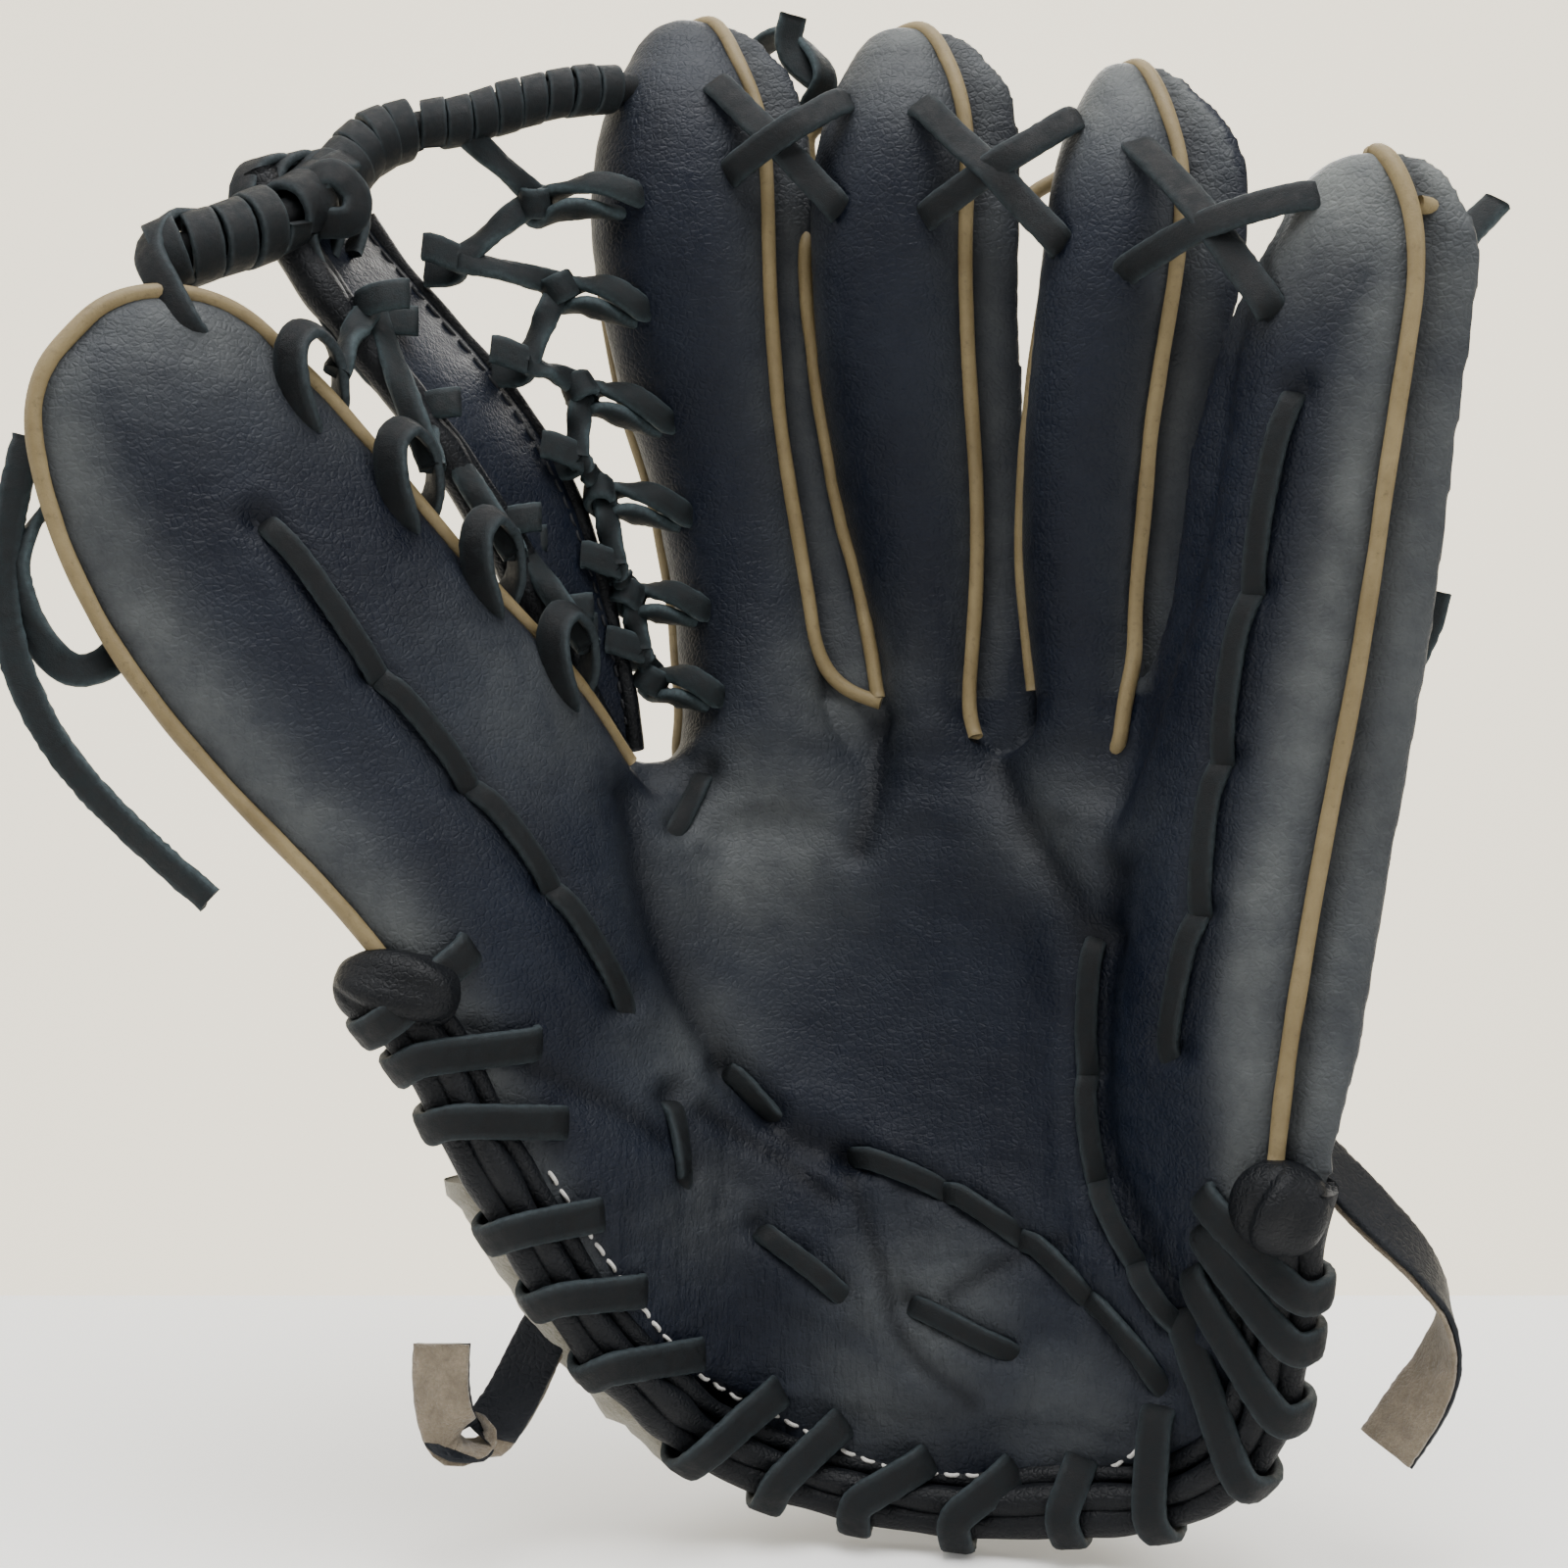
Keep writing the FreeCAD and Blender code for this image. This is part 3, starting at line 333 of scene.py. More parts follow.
# ---------------------------------------------------------------- camera

camera_data = bpy.data.cameras.new("camera")
camera = bpy.data.objects.new("camera", camera_data)
bpy.context.collection.objects.link(camera)
camera.location = (0, -0.450, 0.130)
camera.rotation_euler = (math.pi / 2, 0, 0)
camera_data.sensor_width = 36
camera_data.lens = 47.25
camera_data.clip_start = 0.01
bpy.context.scene.camera = camera


# ---------------------------------------------------------------- materials

class Nodes:
    """A material's node tree, built a node at a time."""

    def __init__(self, name):
        self.material = bpy.data.materials.new(name)
        self.material.use_nodes = True
        self.tree = self.material.node_tree
        self.tree.nodes.clear()
        self.output = self.tree.nodes.new("ShaderNodeOutputMaterial")
        self.shader = self.add("ShaderNodeBsdfPrincipled")
        self.tree.links.new(self.shader.outputs[0], self.output.inputs["Surface"])
        self.place = self.add("ShaderNodeTexCoord").outputs["Object"]

    def add(self, kind, **settings):
        node = self.tree.nodes.new(kind)
        for key, value in settings.items():
            setattr(node, key, value)
        return node

    def feed(self, socket, value):
        if hasattr(value, "is_output"):
            self.tree.links.new(value, socket)
        else:
            socket.default_value = value

    def noise(self, scale, detail=4.0, rough=0.55, stretch=None):
        node = self.add("ShaderNodeTexNoise")
        self.feed(node.inputs["Vector"], self.stretched(stretch) if stretch else self.place)
        node.inputs["Scale"].default_value = scale
        node.inputs["Detail"].default_value = detail
        node.inputs["Roughness"].default_value = rough
        return node.outputs["Fac"]

    def stretched(self, scale):
        node = self.add("ShaderNodeMapping")
        self.feed(node.inputs["Vector"], self.place)
        node.inputs["Scale"].default_value = scale
        return node.outputs[0]

    def cells(self, scale, feature="DISTANCE_TO_EDGE"):
        node = self.add("ShaderNodeTexVoronoi", feature=feature)
        self.feed(node.inputs["Vector"], self.place)
        node.inputs["Scale"].default_value = scale
        return node.outputs["Distance"]

    def ramp(self, value, *stops):
        node = self.add("ShaderNodeValToRGB")
        self.feed(node.inputs["Fac"], value)
        ramp = node.color_ramp
        while len(ramp.elements) < len(stops):
            ramp.elements.new(0.5)
        for element, (position, colour) in zip(ramp.elements, stops):
            element.position = position
            element.color = (*colour, 1) if len(colour) == 3 else colour
        return node.outputs["Color"]

    def grey(self, value, *stops):
        return self.ramp(value, *[(p, (v, v, v)) for p, v in stops])

    def math(self, operation, *values, clamp=False):
        node = self.add("ShaderNodeMath", operation=operation, use_clamp=clamp)
        for socket, value in zip(node.inputs, values):
            self.feed(socket, value)
        return node.outputs[0]

    def mix(self, factor, a, b):
        node = self.add("ShaderNodeMix", data_type="RGBA")
        self.feed(node.inputs["Factor"], factor)
        self.feed(node.inputs[6], (*a, 1) if isinstance(a, tuple) else a)
        self.feed(node.inputs[7], (*b, 1) if isinstance(b, tuple) else b)
        return node.outputs[2]

    def attribute(self, name):
        node = self.add("ShaderNodeAttribute", attribute_name=name)
        return node.outputs["Fac"]

    def bump(self, height, distance, strength=1.0, under=None):
        node = self.add("ShaderNodeBump")
        node.inputs["Distance"].default_value = distance
        node.inputs["Strength"].default_value = strength
        self.feed(node.inputs["Height"], height)
        if under is not None:
            self.feed(node.inputs["Normal"], under)
        return node.outputs[0]

    def finish(self, colour, rough, normal, **constants):
        self.feed(self.shader.inputs["Base Color"], colour)
        self.feed(self.shader.inputs["Roughness"], rough)
        self.feed(self.shader.inputs["Normal"], normal)
        for name, value in constants.items():
            self.shader.inputs[name.replace("_", " ")].default_value = value
        return self.material


def grain_leather(name, dark, light, pale_tone, grain=720.0, wear_and_sheen=True, rough=(0.36, 0.56)):
    """Smooth-grain hide: mottled dye, pores, fine creases, pale scuffs and painted highlight where a mesh attribute
    says, and painted shade along folds and seams where another says.
    """
    n = Nodes(name)
    blotches = n.noise(26, 5, 0.6)
    mottle = n.noise(240, 6, 0.65)
    base = n.mix(n.grey(blotches, (0.35, 0), (0.68, 1)), dark, light)
    base = n.mix(n.grey(mottle, (0.35, 0.0), (0.8, 0.03)), base, pale_tone)
    pores = n.cells(grain)
    fine = n.noise(2600, 3, 0.6)
    creases = n.noise(150, 7, 0.7, stretch=(1.0, 1.0, 2.2))
    if wear_and_sheen:
        # pale patches: partly scuffed hide, partly painted highlight and sheen on tips, pads and stall sides
        scuff_and_sheen = n.math("MULTIPLY", n.attribute("wear_and_sheen"), n.grey(n.noise(75, 7, 0.7), (0.25, 0.25),
                                                                (0.7, 1.0)))
        base = n.mix(n.math("MINIMUM", scuff_and_sheen, 0.9), base, pale_tone)
        # painted shade: darker hide along the folds, the seams and the lace runs
        folds = n.grey(n.attribute("crease_shade"), (0.0, 0.0), (1.0, 0.8))
        base = n.mix(folds, base, tuple(0.35 * c for c in dark))
    normal = n.bump(n.grey(pores, (0.0, 0.0), (0.22, 1.0)), 0.00016, 0.55)
    normal = n.bump(fine, 0.00012, 0.5, normal)
    normal = n.bump(creases, 0.0011, 0.45, normal)
    if wear_and_sheen:
        wrinkles = n.math("MULTIPLY", n.noise(105, 6, 0.62, stretch=(3.4, 1.0, 0.75)), n.attribute("wrinkle"))
        normal = n.bump(wrinkles, 0.0030, 0.7, normal)
    roughness = n.grey(mottle, (0.3, rough[0]), (0.7, rough[1]))
    return n.finish(base, roughness, normal, Specular_IOR_Level=0.17)


NAVY = (0.0022, 0.0038, 0.0092)
NAVY_LIGHT = (0.0055, 0.0085, 0.0165)
# a pale grey for scuffed hide, also used as painted highlight and sheen
WEAR_AND_SHEEN_GREY = (0.135, 0.144, 0.140)
shell_leather = grain_leather("shell_leather", NAVY, NAVY_LIGHT, WEAR_AND_SHEEN_GREY)


# ---------------------------------------------------------------- meshes

def new_object(name, points, faces, material, smooth=True):
    mesh = bpy.data.meshes.new(name)
    points = np.asarray(points, np.float64) * MM
    if isinstance(faces, np.ndarray):
        corners = faces.shape[1]
        mesh.vertices.add(len(points))
        mesh.vertices.foreach_set("co", points.ravel())
        mesh.loops.add(faces.size)
        mesh.loops.foreach_set("vertex_index", faces.ravel().astype(np.int32))
        mesh.polygons.add(len(faces))
        mesh.polygons.foreach_set("loop_start", np.arange(0, faces.size, corners, dtype=np.int32))
        mesh.update(calc_edges=True)
    else:
        mesh.from_pydata(points.tolist(), [], faces)
    mesh.validate()
    mesh.polygons.foreach_set("use_smooth", np.full(len(mesh.polygons), smooth))
    mesh.materials.append(material)
    made = bpy.data.objects.new(name, mesh)
    bpy.context.collection.objects.link(made)
    return made


def face_normals(points, faces):
    a, b, c, d = (points[faces[:, k]] for k in range(4))
    return np.cross(c - a, d - b)


def vertex_normals(points, faces):
    each = face_normals(points, faces)
    total = np.zeros_like(points)
    for k in range(4):
        for axis in range(3):
            total[:, axis] += np.bincount(faces[:, k], each[:, axis], len(points))
    return total / np.maximum(np.linalg.norm(total, axis=1, keepdims=True), 1e-9)


def relaxed(points, faces, rounds):
    """Smoothed by moving each point to its neighbours' middle and most of the way back out."""
    a = faces.ravel()
    b = np.roll(faces, -1, axis=1).ravel()
    degree = np.bincount(a, minlength=len(points)) + np.bincount(b, minlength=len(points))
    for _ in range(rounds):
        for step in (0.55, -0.57):
            middle = np.stack([
                np.bincount(a, points[b, k], len(points)) + np.bincount(b, points[a, k], len(points))
                for k in range(3)
            ], axis=1) / degree[:, None]
            points = points + step * (middle - points)
    return points


quads = np.asarray(quads)[:, ::-1].astype(np.int64)
points = relaxed(points, quads, 14)
normals = vertex_normals(points, quads)
if (normals * (points - points.mean(0))).sum() < 0:
    quads = quads[:, ::-1].copy()
    normals = -normals


def spline(controls, step=1.2):
    """A smooth run through rows of numbers, the first three of each a point, sampled at even steps."""
    rows = np.asarray(controls, float)
    padded = np.vstack([2 * rows[0] - rows[1], rows, 2 * rows[-1] - rows[-2]])
    t = np.linspace(0, 1, 24, endpoint=False)[:, None]
    runs = []
    for a, b, c, d in zip(padded, padded[1:], padded[2:], padded[3:]):
        runs.append(0.5 * (2 * b + (c - a) * t + (2 * a - 5 * b + 4 * c - d) * t**2 + (3 * b - a - 3 * c + d) * t**3))
    path = np.vstack(runs + [rows[-1:]])
    along = np.concatenate([[0], np.cumsum(np.linalg.norm(np.diff(path[:, :3], axis=0), axis=1))])
    wanted = np.linspace(0, along[-1], max(4, int(along[-1] / step) + 1))
    return np.stack([np.interp(wanted, along, path[:, k]) for k in range(path.shape[1])], axis=1)


# ---------------------------------------------------------------- the skin's relief

front_of_skin = BVHTree.FromPolygons(points.tolist(), quads.tolist())


def front(x, z, lift=0.0):
    """The palm side of the leather at x and z."""
    hit, normal, _, _ = front_of_skin.ray_cast(Vector((x, -300, z)), Vector((0, 1, 0)))
    if hit is None:
        hit, normal, _, _ = front_of_skin.find_nearest(Vector((x, -60, z)))
    return np.array(hit + normal * lift)


# Running laces, hole by hole, and the folds and pads of the palm, as x and z. These places are fixed:
# they don't follow the frame when a size in it changes.
THUMB_RUN = [(-97, 179), (-78, 151), (-62, 130), (-47, 110), (-33, 86)]
LITTLE_RUN = [(95, 203), (89, 167), (84, 135), (80, 106), (75, 79)]
LITTLE_CREASE = [(64, 99), (62, 72), (63, 51), (69, 36), (76, 25)]
HEEL_CREASE = [(13, 52), (32, 46), (47, 38), (60, 28), (73, 13)]
SHORT_RUNS = [((-13, 70), (-3, 61)), ((-24, 66), (-21, 50)), ((-6, 38), (11, 26)), ((25, 24), (45, 16))]
CROTCH_RUN = [(-17, 133), (-23, 121)]
FOLDS = [  # a line, its depth and its width
    ([(-32, 128), (-29, 112), (-23, 91), (-12, 71), (0, 57), (14, 52)], 2.6, 3.4),
    ([(66, 113), (65, 100), (63, 79), (64, 59), (70, 41), (77, 28)], 2.4, 3.4),
    ([(21, 143), (20, 131), (16, 116)], 1.6, 3.2),
    ([(46, 134), (51, 121), (59, 106), (62, 96)], 1.5, 3.4),
    ([(-60, 84), (-46, 74), (-34, 66), (-26, 58)], 0.8, 2.4),
    ([(13, 50), (19, 34), (25, 16), (38, 6)], 0.7, 2.2),
    ([(-18, 62), (-2, 52), (10, 44)], 0.9, 2.2),
    ([(34, 26), (45, 33), (57, 38)], 0.6, 2.4),
]
PADS = [  # x, z, width and rise
    (-30, 52, 15, 2.6), (-4, 31, 15, 3.2), (14, 22, 14, 2.6), (41, 19, 15, 3.0),
    (62, 5, 13, 2.4), (30, 3, 13, 2.2), (64, 33, 9, 1.8),
]
# pale patches on the palm: partly scuffed hide, partly painted highlight on the pads
WEAR_AND_HIGHLIGHT_SPOTS = [  # x, z, width and amount
    (29, 22, 17, 0.45), (-17, 43, 13, 0.2), (-6, 118, 22, 0.55), (19, 8, 15, 0.3), (32, 16, 15, 0.3),
    (12, 152, 15, 0.5), (57, 6, 15, 0.3), (-18, 77, 14, 0.35), (-45, 150, 22, 0.3), (56, 122, 14, 0.3),
]


def hump(values, middle, width):
    """A soft bump, 1 at its middle."""
    return np.exp(-((values - middle) / width) ** 2)

def gap_to_line(line):
    """Each skin point's distance to a line drawn on the palm, seen from in front."""
    nodes = spline([[x, 0, z] for x, z in line], 2.0)[:, [0, 2]] if len(line) > 2 else np.array(line, float)
    flat = points[:, [0, 2]]
    best = np.full(len(points), 1e9)
    for a, b in zip(nodes, nodes[1:]):
        share = np.clip((flat - a) @ (b - a) / ((b - a) @ (b - a) + 1e-9), 0, 1)
        best = np.minimum(best, np.linalg.norm(flat - a - share[:, None] * (b - a), axis=1))
    return best


# how pale each finger end gets: partly scuffing, partly painted highlight where the overhead light falls
TIP_WEAR_AND_HIGHLIGHT = {"thumb": 0.5, "index": 0.22, "middle": 0.6, "ring": 0.9, "little": 1.15}
# mask of pale patches: scuffs, and painted highlight and sheen
wear_and_sheen = np.zeros(len(points))
# mask of painted shade along folds, seams and lace runs
crease_shade = np.zeros(len(points))
relief = np.zeros(len(points))
in_view = np.clip(-normals[:, 1] * 2.5, 0, 1)
for line, depth, width in FOLDS:
    gap = gap_to_line(line)
    relief -= depth * hump(gap, 0, width)
    relief += 0.3 * depth * hump(gap, 2.4 * width, 1.3 * width)
    # painted shade along the fold
    crease_shade = np.maximum(crease_shade, 0.8 * hump(gap, 0, 0.8 * width))
for run in [THUMB_RUN, LITTLE_RUN, LITTLE_CREASE, HEEL_CREASE, *SHORT_RUNS, CROTCH_RUN]:
    gap = gap_to_line(run)
    relief -= 0.9 * hump(gap, 0, 2.6)
    relief += 0.35 * hump(gap, 5.5, 2.5)
    # painted shade along the lace run
    crease_shade = np.maximum(crease_shade, 0.5 * hump(gap, 0, 3.2))
    for x, z in run:
        gap = np.hypot(points[:, 0] - x, points[:, 2] - z)
        relief -= 1.5 * hump(gap, 0, 2.6)
for x, z, width, rise in PADS:
    relief += rise * np.exp(-((points[:, 0] - x) ** 2 + (points[:, 2] - z) ** 2) / width**2)
relief *= in_view
for x, z, width, amount in WEAR_AND_HIGHLIGHT_SPOTS:
    spot = amount * np.exp(-((points[:, 0] - x) ** 2 + (points[:, 2] - z) ** 2) / width**2)
    wear_and_sheen = np.maximum(wear_and_sheen, spot * in_view)
for name, stall in STALLS.items():
    at = [np.interp(points[:, 2], stall.rows[:, 0], stall.rows[:, k]) for k in range(1, 5)]
    across = np.stack([at[2] - at[0], at[3] - at[1]], axis=1)
    width = np.linalg.norm(across, axis=1)
    from_left = points[:, :2] - np.stack(at[:2], axis=1)
    share = (from_left * across).sum(1) / width**2
    off = (from_left[:, 0] * across[:, 1] - from_left[:, 1] * across[:, 0]) / width
    mine = (np.abs(share - 0.5) < 0.85) & (np.abs(off) < width * 0.8) & (points[:, 2] > stall.low + 20)
    near_tip = np.clip((points[:, 2] - (stall.high - 34)) / 34, 0, 1) ** 1.6
    amount = TIP_WEAR_AND_HIGHLIGHT[name] * near_tip
    # painted shade in a line along each seam, but not the little finger's left one, which is out of sight
    for edge in [1 - share] if name == "little" else [share, 1 - share]:
        seam_shade = hump(np.hypot(edge * width, off), 0, 3.4) * mine
        crease_shade = np.maximum(crease_shade, 0.9 * seam_shade)
    # pale sides of each stall: partly scuffing, partly painted sheen
    if name == "thumb":
        scuff_and_sheen = 0.48 * hump(share, 0.05, 0.12)
    elif name == "little":
        scuff_and_sheen = 0.55 * hump(share, 0.86, 0.16) + 0.4 * (share > 1.0)
    else:
        scuff_and_sheen = 0.33 * hump(share, 1.1, 0.2) + 0.2 * hump(share, 0.05, 0.12)
    wear_and_sheen = np.where(mine, np.maximum(wear_and_sheen, np.maximum(amount, scuff_and_sheen)), wear_and_sheen)
low_field = np.array([noise.fractal(Vector(p) * 0.022, 1.0, 2.0, 3) for p in points.tolist()])
ripple = np.array([noise.noise(Vector((p[0] * 0.16, p[1] * 0.1, p[2] * 0.30))) for p in points.tolist()])
heel_zone = np.exp(-((points[:, 2] - 25) / 30) ** 2)
wrinkle = heel_zone * in_view
points = points + normals * (relief + low_field * 0.6 + ripple * (0.12 + 0.30 * heel_zone))[:, None]
final_normals = vertex_normals(points, quads)
front_of_skin = BVHTree.FromPolygons(points.tolist(), quads.tolist())


def bend_thumb(piece):
    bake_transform(piece)


def bend_web(piece):
    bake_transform(piece)


def bend_little(piece):
    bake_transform(piece)


def skin_part(name, chosen):
    """One side of the skin, with its own pale scuffs and painted highlight, painted shade along its folds and seams,
    and wrinkles.
    """
    used, faces = np.unique(quads[chosen], return_inverse=True)
    made = new_object(name, points[used], faces.reshape(-1, 4), shell_leather)
    for attribute_name, values in (("wear_and_sheen", wear_and_sheen), ("crease_shade", crease_shade), ("wrinkle", wrinkle)):
        attribute = made.data.attributes.new(attribute_name, "FLOAT", "POINT")
        attribute.data.foreach_set("value", values[used].astype(np.float32))
    made.data.normals_split_custom_set_from_vertices(final_normals[used].tolist())
    return made


face_middle = points[quads].mean(1)
cell = tuple(np.clip(np.rint((face_middle - origin) / PITCH).astype(int), 0, counts - 1).T)
is_finger = (face_middle[:, 2] > 140) & (fingers[cell] < np.minimum(fields["little"][cell],
                                                                    fields["thumb"][cell]))
SPLIT_X = 25.0
left_half = ~is_finger & (face_middle[:, 0] < SPLIT_X)
right_half = ~is_finger & ~left_half
finger_skin = skin_part("finger_skin", is_finger)
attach(finger_skin, "hand")
thumb_side = skin_part("thumb_side_skin", left_half)
bend_thumb(thumb_side)
little_side = skin_part("little_side_skin", right_half)
bend_little(little_side)
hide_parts(*[f"{finger}_{part}" for finger in THREE_FINGERS for part in ("front", "back",
                                                                                       "lining")])
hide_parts("thumb_front", "thumb_back", "thumb_lining", "palm_shell", "palm_felt", "palm_lining",
            "hand_back")
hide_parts("little_front", "little_back", "little_lining", "heel_shell")

# ---------------------------------------------------------------- paths and swept pieces

def unit(vectors):
    return vectors / np.maximum(np.linalg.norm(vectors, axis=-1, keepdims=True), 1e-9)


class Heap:
    """Meshes gathered into one piece."""

    def __init__(self):
        self.points, self.faces, self.naps, self.count = [], [], [], 0

    def add(self, points, faces, nap=None):
        self.points.append(points)
        self.faces.append(faces + self.count)
        self.naps.append(np.zeros(len(points)) if nap is None else nap)
        self.count += len(points)

    def make(self, name, material, chosen=None):
        """The heap as one object, or only its chosen faces; nap marks a lace's cut edges."""
        faces = np.vstack(self.faces)
        used, faces = np.unique(faces if chosen is None else faces[chosen], return_inverse=True)
        made = new_object(name, np.vstack(self.points)[used], faces.reshape(-1, 4), material)
        attribute = made.data.attributes.new("nap", "FLOAT", "POINT")
        attribute.data.foreach_set("value", np.concatenate(self.naps)[used].astype(np.float32))
        return made


def ring_faces(rows, around, closed=False):
    r = np.arange(rows if closed else rows - 1)[:, None]
    k = np.arange(around)[None, :]
    nxt = (r + 1) % rows
    return np.stack([
        r * around + k, r * around + (k + 1) % around, nxt * around + (k + 1) % around, nxt * around + k
    ], axis=-1).reshape(-1, 4)


def end_caps(rows, around):
    """Faces that close the first and the last ring of a tube."""
    return np.array([
        [start + k, start + k + 1, start + around - 2 - k, start + around - 1 - k]
        for start in (0, (rows - 1) * around) for k in range(around // 2 - 1)
    ])

def sweep(heap, path, outs, section, scale=None, rough=0.0, closed=False):
    """Carries a section of (across, out) points along a path, closing both ends."""
    tangent = unit(np.gradient(path, axis=0))
    outs = unit(outs - (outs * tangent).sum(1, keepdims=True) * tangent)
    across = np.cross(tangent, outs)
    section = np.asarray(section, float)
    rows, around = len(path), len(section)
    scale = np.ones(rows) if scale is None else scale
    spread = section[None, :, :1] * across[:, None] + section[None, :, 1:] * outs[:, None]
    grid = path[:, None] + scale[:, None, None] * spread
    if rough:
        grid = grid + rng.normal(0, rough, grid.shape)
    points = grid.reshape(-1, 3)
    faces = ring_faces(rows, around, closed)
    if not closed:
        first, last = np.split(end_caps(rows, around), 2)
        faces = np.vstack([faces, first, last[:, ::-1]])
    faces = faces[:, ::-1]
    edge = np.abs(section[:, 0]) / np.abs(section[:, 0]).max()
    flat = np.ptp(section[:, 0]) > 1.5 * np.ptp(section[:, 1])
    heap.add(points, faces, np.tile(edge**6 * flat, rows))


def oblong(width, thick, corners=0.74):
    """A flat lace's section: two flat sides and two soft edges."""
    angles = np.arange(12) / 12 * 2 * np.pi + np.pi / 12
    c, s = np.cos(angles), np.sin(angles)
    power = 2 * (1 - corners)
    return np.stack([
        np.sign(c) * np.abs(c) ** power * width / 2, np.sign(s) * np.abs(s) ** power * thick / 2
    ], axis=1)


def circle(diameter, count=12):
    angles = np.arange(count) / count * 2 * np.pi
    return np.stack([np.cos(angles), np.sin(angles)], axis=1) * diameter / 2


LACE_WIDTH, LACE_THICK = 6.2, 2.2
LACE = oblong(LACE_WIDTH, LACE_THICK)
WHIP = oblong(6.8, 2.3)


def lace(heap, controls, section=LACE, rough=0.05, step=1.1):
    """A flat lace: each control is a point and the way its smooth side faces."""
    rows = spline([[*p, *n] for p, n in controls], step)
    sweep(heap, rows[:, :3], rows[:, 3:6], section, rough=rough)


def rope(heap, points, diameter, wobble=0.0, section=None, step=1.5):
    """A round run of leather through points, with slight swellings."""
    rows = spline(points, step)
    scale = 1 + wobble * np.array([noise.noise(Vector(p) * 0.09) for p in rows.tolist()])
    outs = np.tile([0.03, -1.0, 0.02], (len(rows), 1))
    sweep(heap, rows, outs, circle(diameter) if section is None else section, scale)


def facing(x, z):
    hit, normal, _, _ = front_of_skin.ray_cast(Vector((x, -300, z)), Vector((0, 1, 0)))
    return np.array(normal) if hit is not None else np.array([0, -1.0, 0])


def over(x, z, lift):
    """A control for a lace lying on the palm side."""
    return front(x, z, lift), facing(x, z)


def on_hand(piece):
    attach(piece, "hand")

def dressed(piece, slot, *nodes):
    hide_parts(*nodes)

def complete(heap, name, material, place, slot, *nodes):
    """Makes the heap's piece, hands it to place and hides the nodes that it stands for."""
    made = heap.make(name, material)
    place(made)
    if nodes:
        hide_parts(*nodes)
    return made


# ---------------------------------------------------------------- other materials

def lace_leather(name, dark, suede):
    """A cut lace: smooth on its face, with napped edges where fibres show."""
    n = Nodes(name)
    mottle = n.noise(420, 6, 0.7)
    fibres = n.noise(3800, 4, 0.75)
    colour = n.mix(n.grey(mottle, (0.42, 0), (0.72, 0.6)), dark, suede)
    edges = n.math("MULTIPLY", n.attribute("nap"), n.grey(n.noise(900, 5, 0.7), (0.3, 0.35), (0.65, 1.0)))
    colour = n.mix(edges, colour, tuple(min(1, 2.6 * c + 0.012) for c in suede))
    colour = n.mix(n.grey(fibres, (0.62, 0), (0.85, 0.16)), colour, (0.06, 0.066, 0.07))
    normal = n.bump(fibres, 0.00025, 0.6)
    normal = n.bump(n.noise(330, 6, 0.7), 0.0006, 0.5, normal)
    return n.finish(colour, n.grey(mottle, (0.3, 0.45), (0.7, 0.8)), normal, Specular_IOR_Level=0.2)


def piping_leather(name, pale, deep):
    n = Nodes(name)
    patches = n.noise(60, 6, 0.65)
    grime = n.noise(700, 6, 0.7)
    colour = n.mix(n.grey(patches, (0.3, 0), (0.7, 1)), deep, pale)
    colour = n.mix(n.grey(grime, (0.55, 0), (0.85, 0.75)), colour, tuple(0.35 * c for c in deep))
    normal = n.bump(n.cells(1500), 0.00010, 0.5)
    normal = n.bump(n.noise(500, 6, 0.7), 0.0003, 0.6, normal)
    return n.finish(colour, n.grey(patches, (0.3, 0.5), (0.7, 0.68)), normal, Specular_IOR_Level=0.35)


def nap(name, colour, pale, scale=2200, distance=0.0007):
    n = Nodes(name)
    tufts = n.noise(scale, 5, 0.7)
    clumps = n.noise(scale / 6, 5, 0.6)
    tint = n.mix(n.grey(clumps, (0.3, 0), (0.7, 1)), colour, pale)
    tint = n.mix(n.grey(tufts, (0.3, 0.5), (0.6, 0)), tint, tuple(0.55 * c for c in colour))
    normal = n.bump(tufts, distance, 0.8)
    normal = n.bump(clumps, distance * 2, 0.6, normal)
    return n.finish(tint, 0.92, normal, Specular_IOR_Level=0.2, Sheen_Weight=0.35, Sheen_Roughness=0.5)


def thread_look(name, colour):
    n = Nodes(name)
    twist = n.noise(4200, 3, 0.6)
    tint = n.mix(n.grey(twist, (0.3, 0), (0.7, 1)), tuple(0.7 * c for c in colour), colour)
    return n.finish(tint, 0.75, n.bump(twist, 0.0002, 0.7), Specular_IOR_Level=0.3)


black_lace = lace_leather("lace_leather", (0.0020, 0.0025, 0.0032), (0.0070, 0.0110, 0.0130))
suede_lace = lace_leather("lace_flesh_side", (0.0034, 0.0050, 0.0060), (0.0120, 0.0190, 0.0215))
tan_piping = piping_leather("tan_welt_leather", (0.21, 0.162, 0.080), (0.130, 0.095, 0.042))
tan_suede = nap("tan_suede", (0.15, 0.120, 0.083), (0.25, 0.205, 0.145), 1800, 0.0006)
fleece_look = nap("cream_fleece", (0.50, 0.45, 0.35), (0.66, 0.61, 0.50), 1300, 0.0016)
felt_look = nap("wool_felt", (0.20, 0.185, 0.14), (0.32, 0.295, 0.225), 1600, 0.0009)
thread = thread_look("white_thread", (0.66, 0.64, 0.60))
black_thread = thread_look("black_thread", (0.015, 0.016, 0.019))
binding_leather = grain_leather("binding_leather", (0.0022, 0.0028, 0.0040), (0.0050, 0.0058, 0.0075),
                                (0.05, 0.053, 0.052), 800.0, False)
strap_leather = grain_leather("strap_leather", (0.0055, 0.007, 0.010), (0.012, 0.0135, 0.017),
                              (0.07, 0.073, 0.07), 650.0, False)

# ---------------------------------------------------------------- piping along the seams

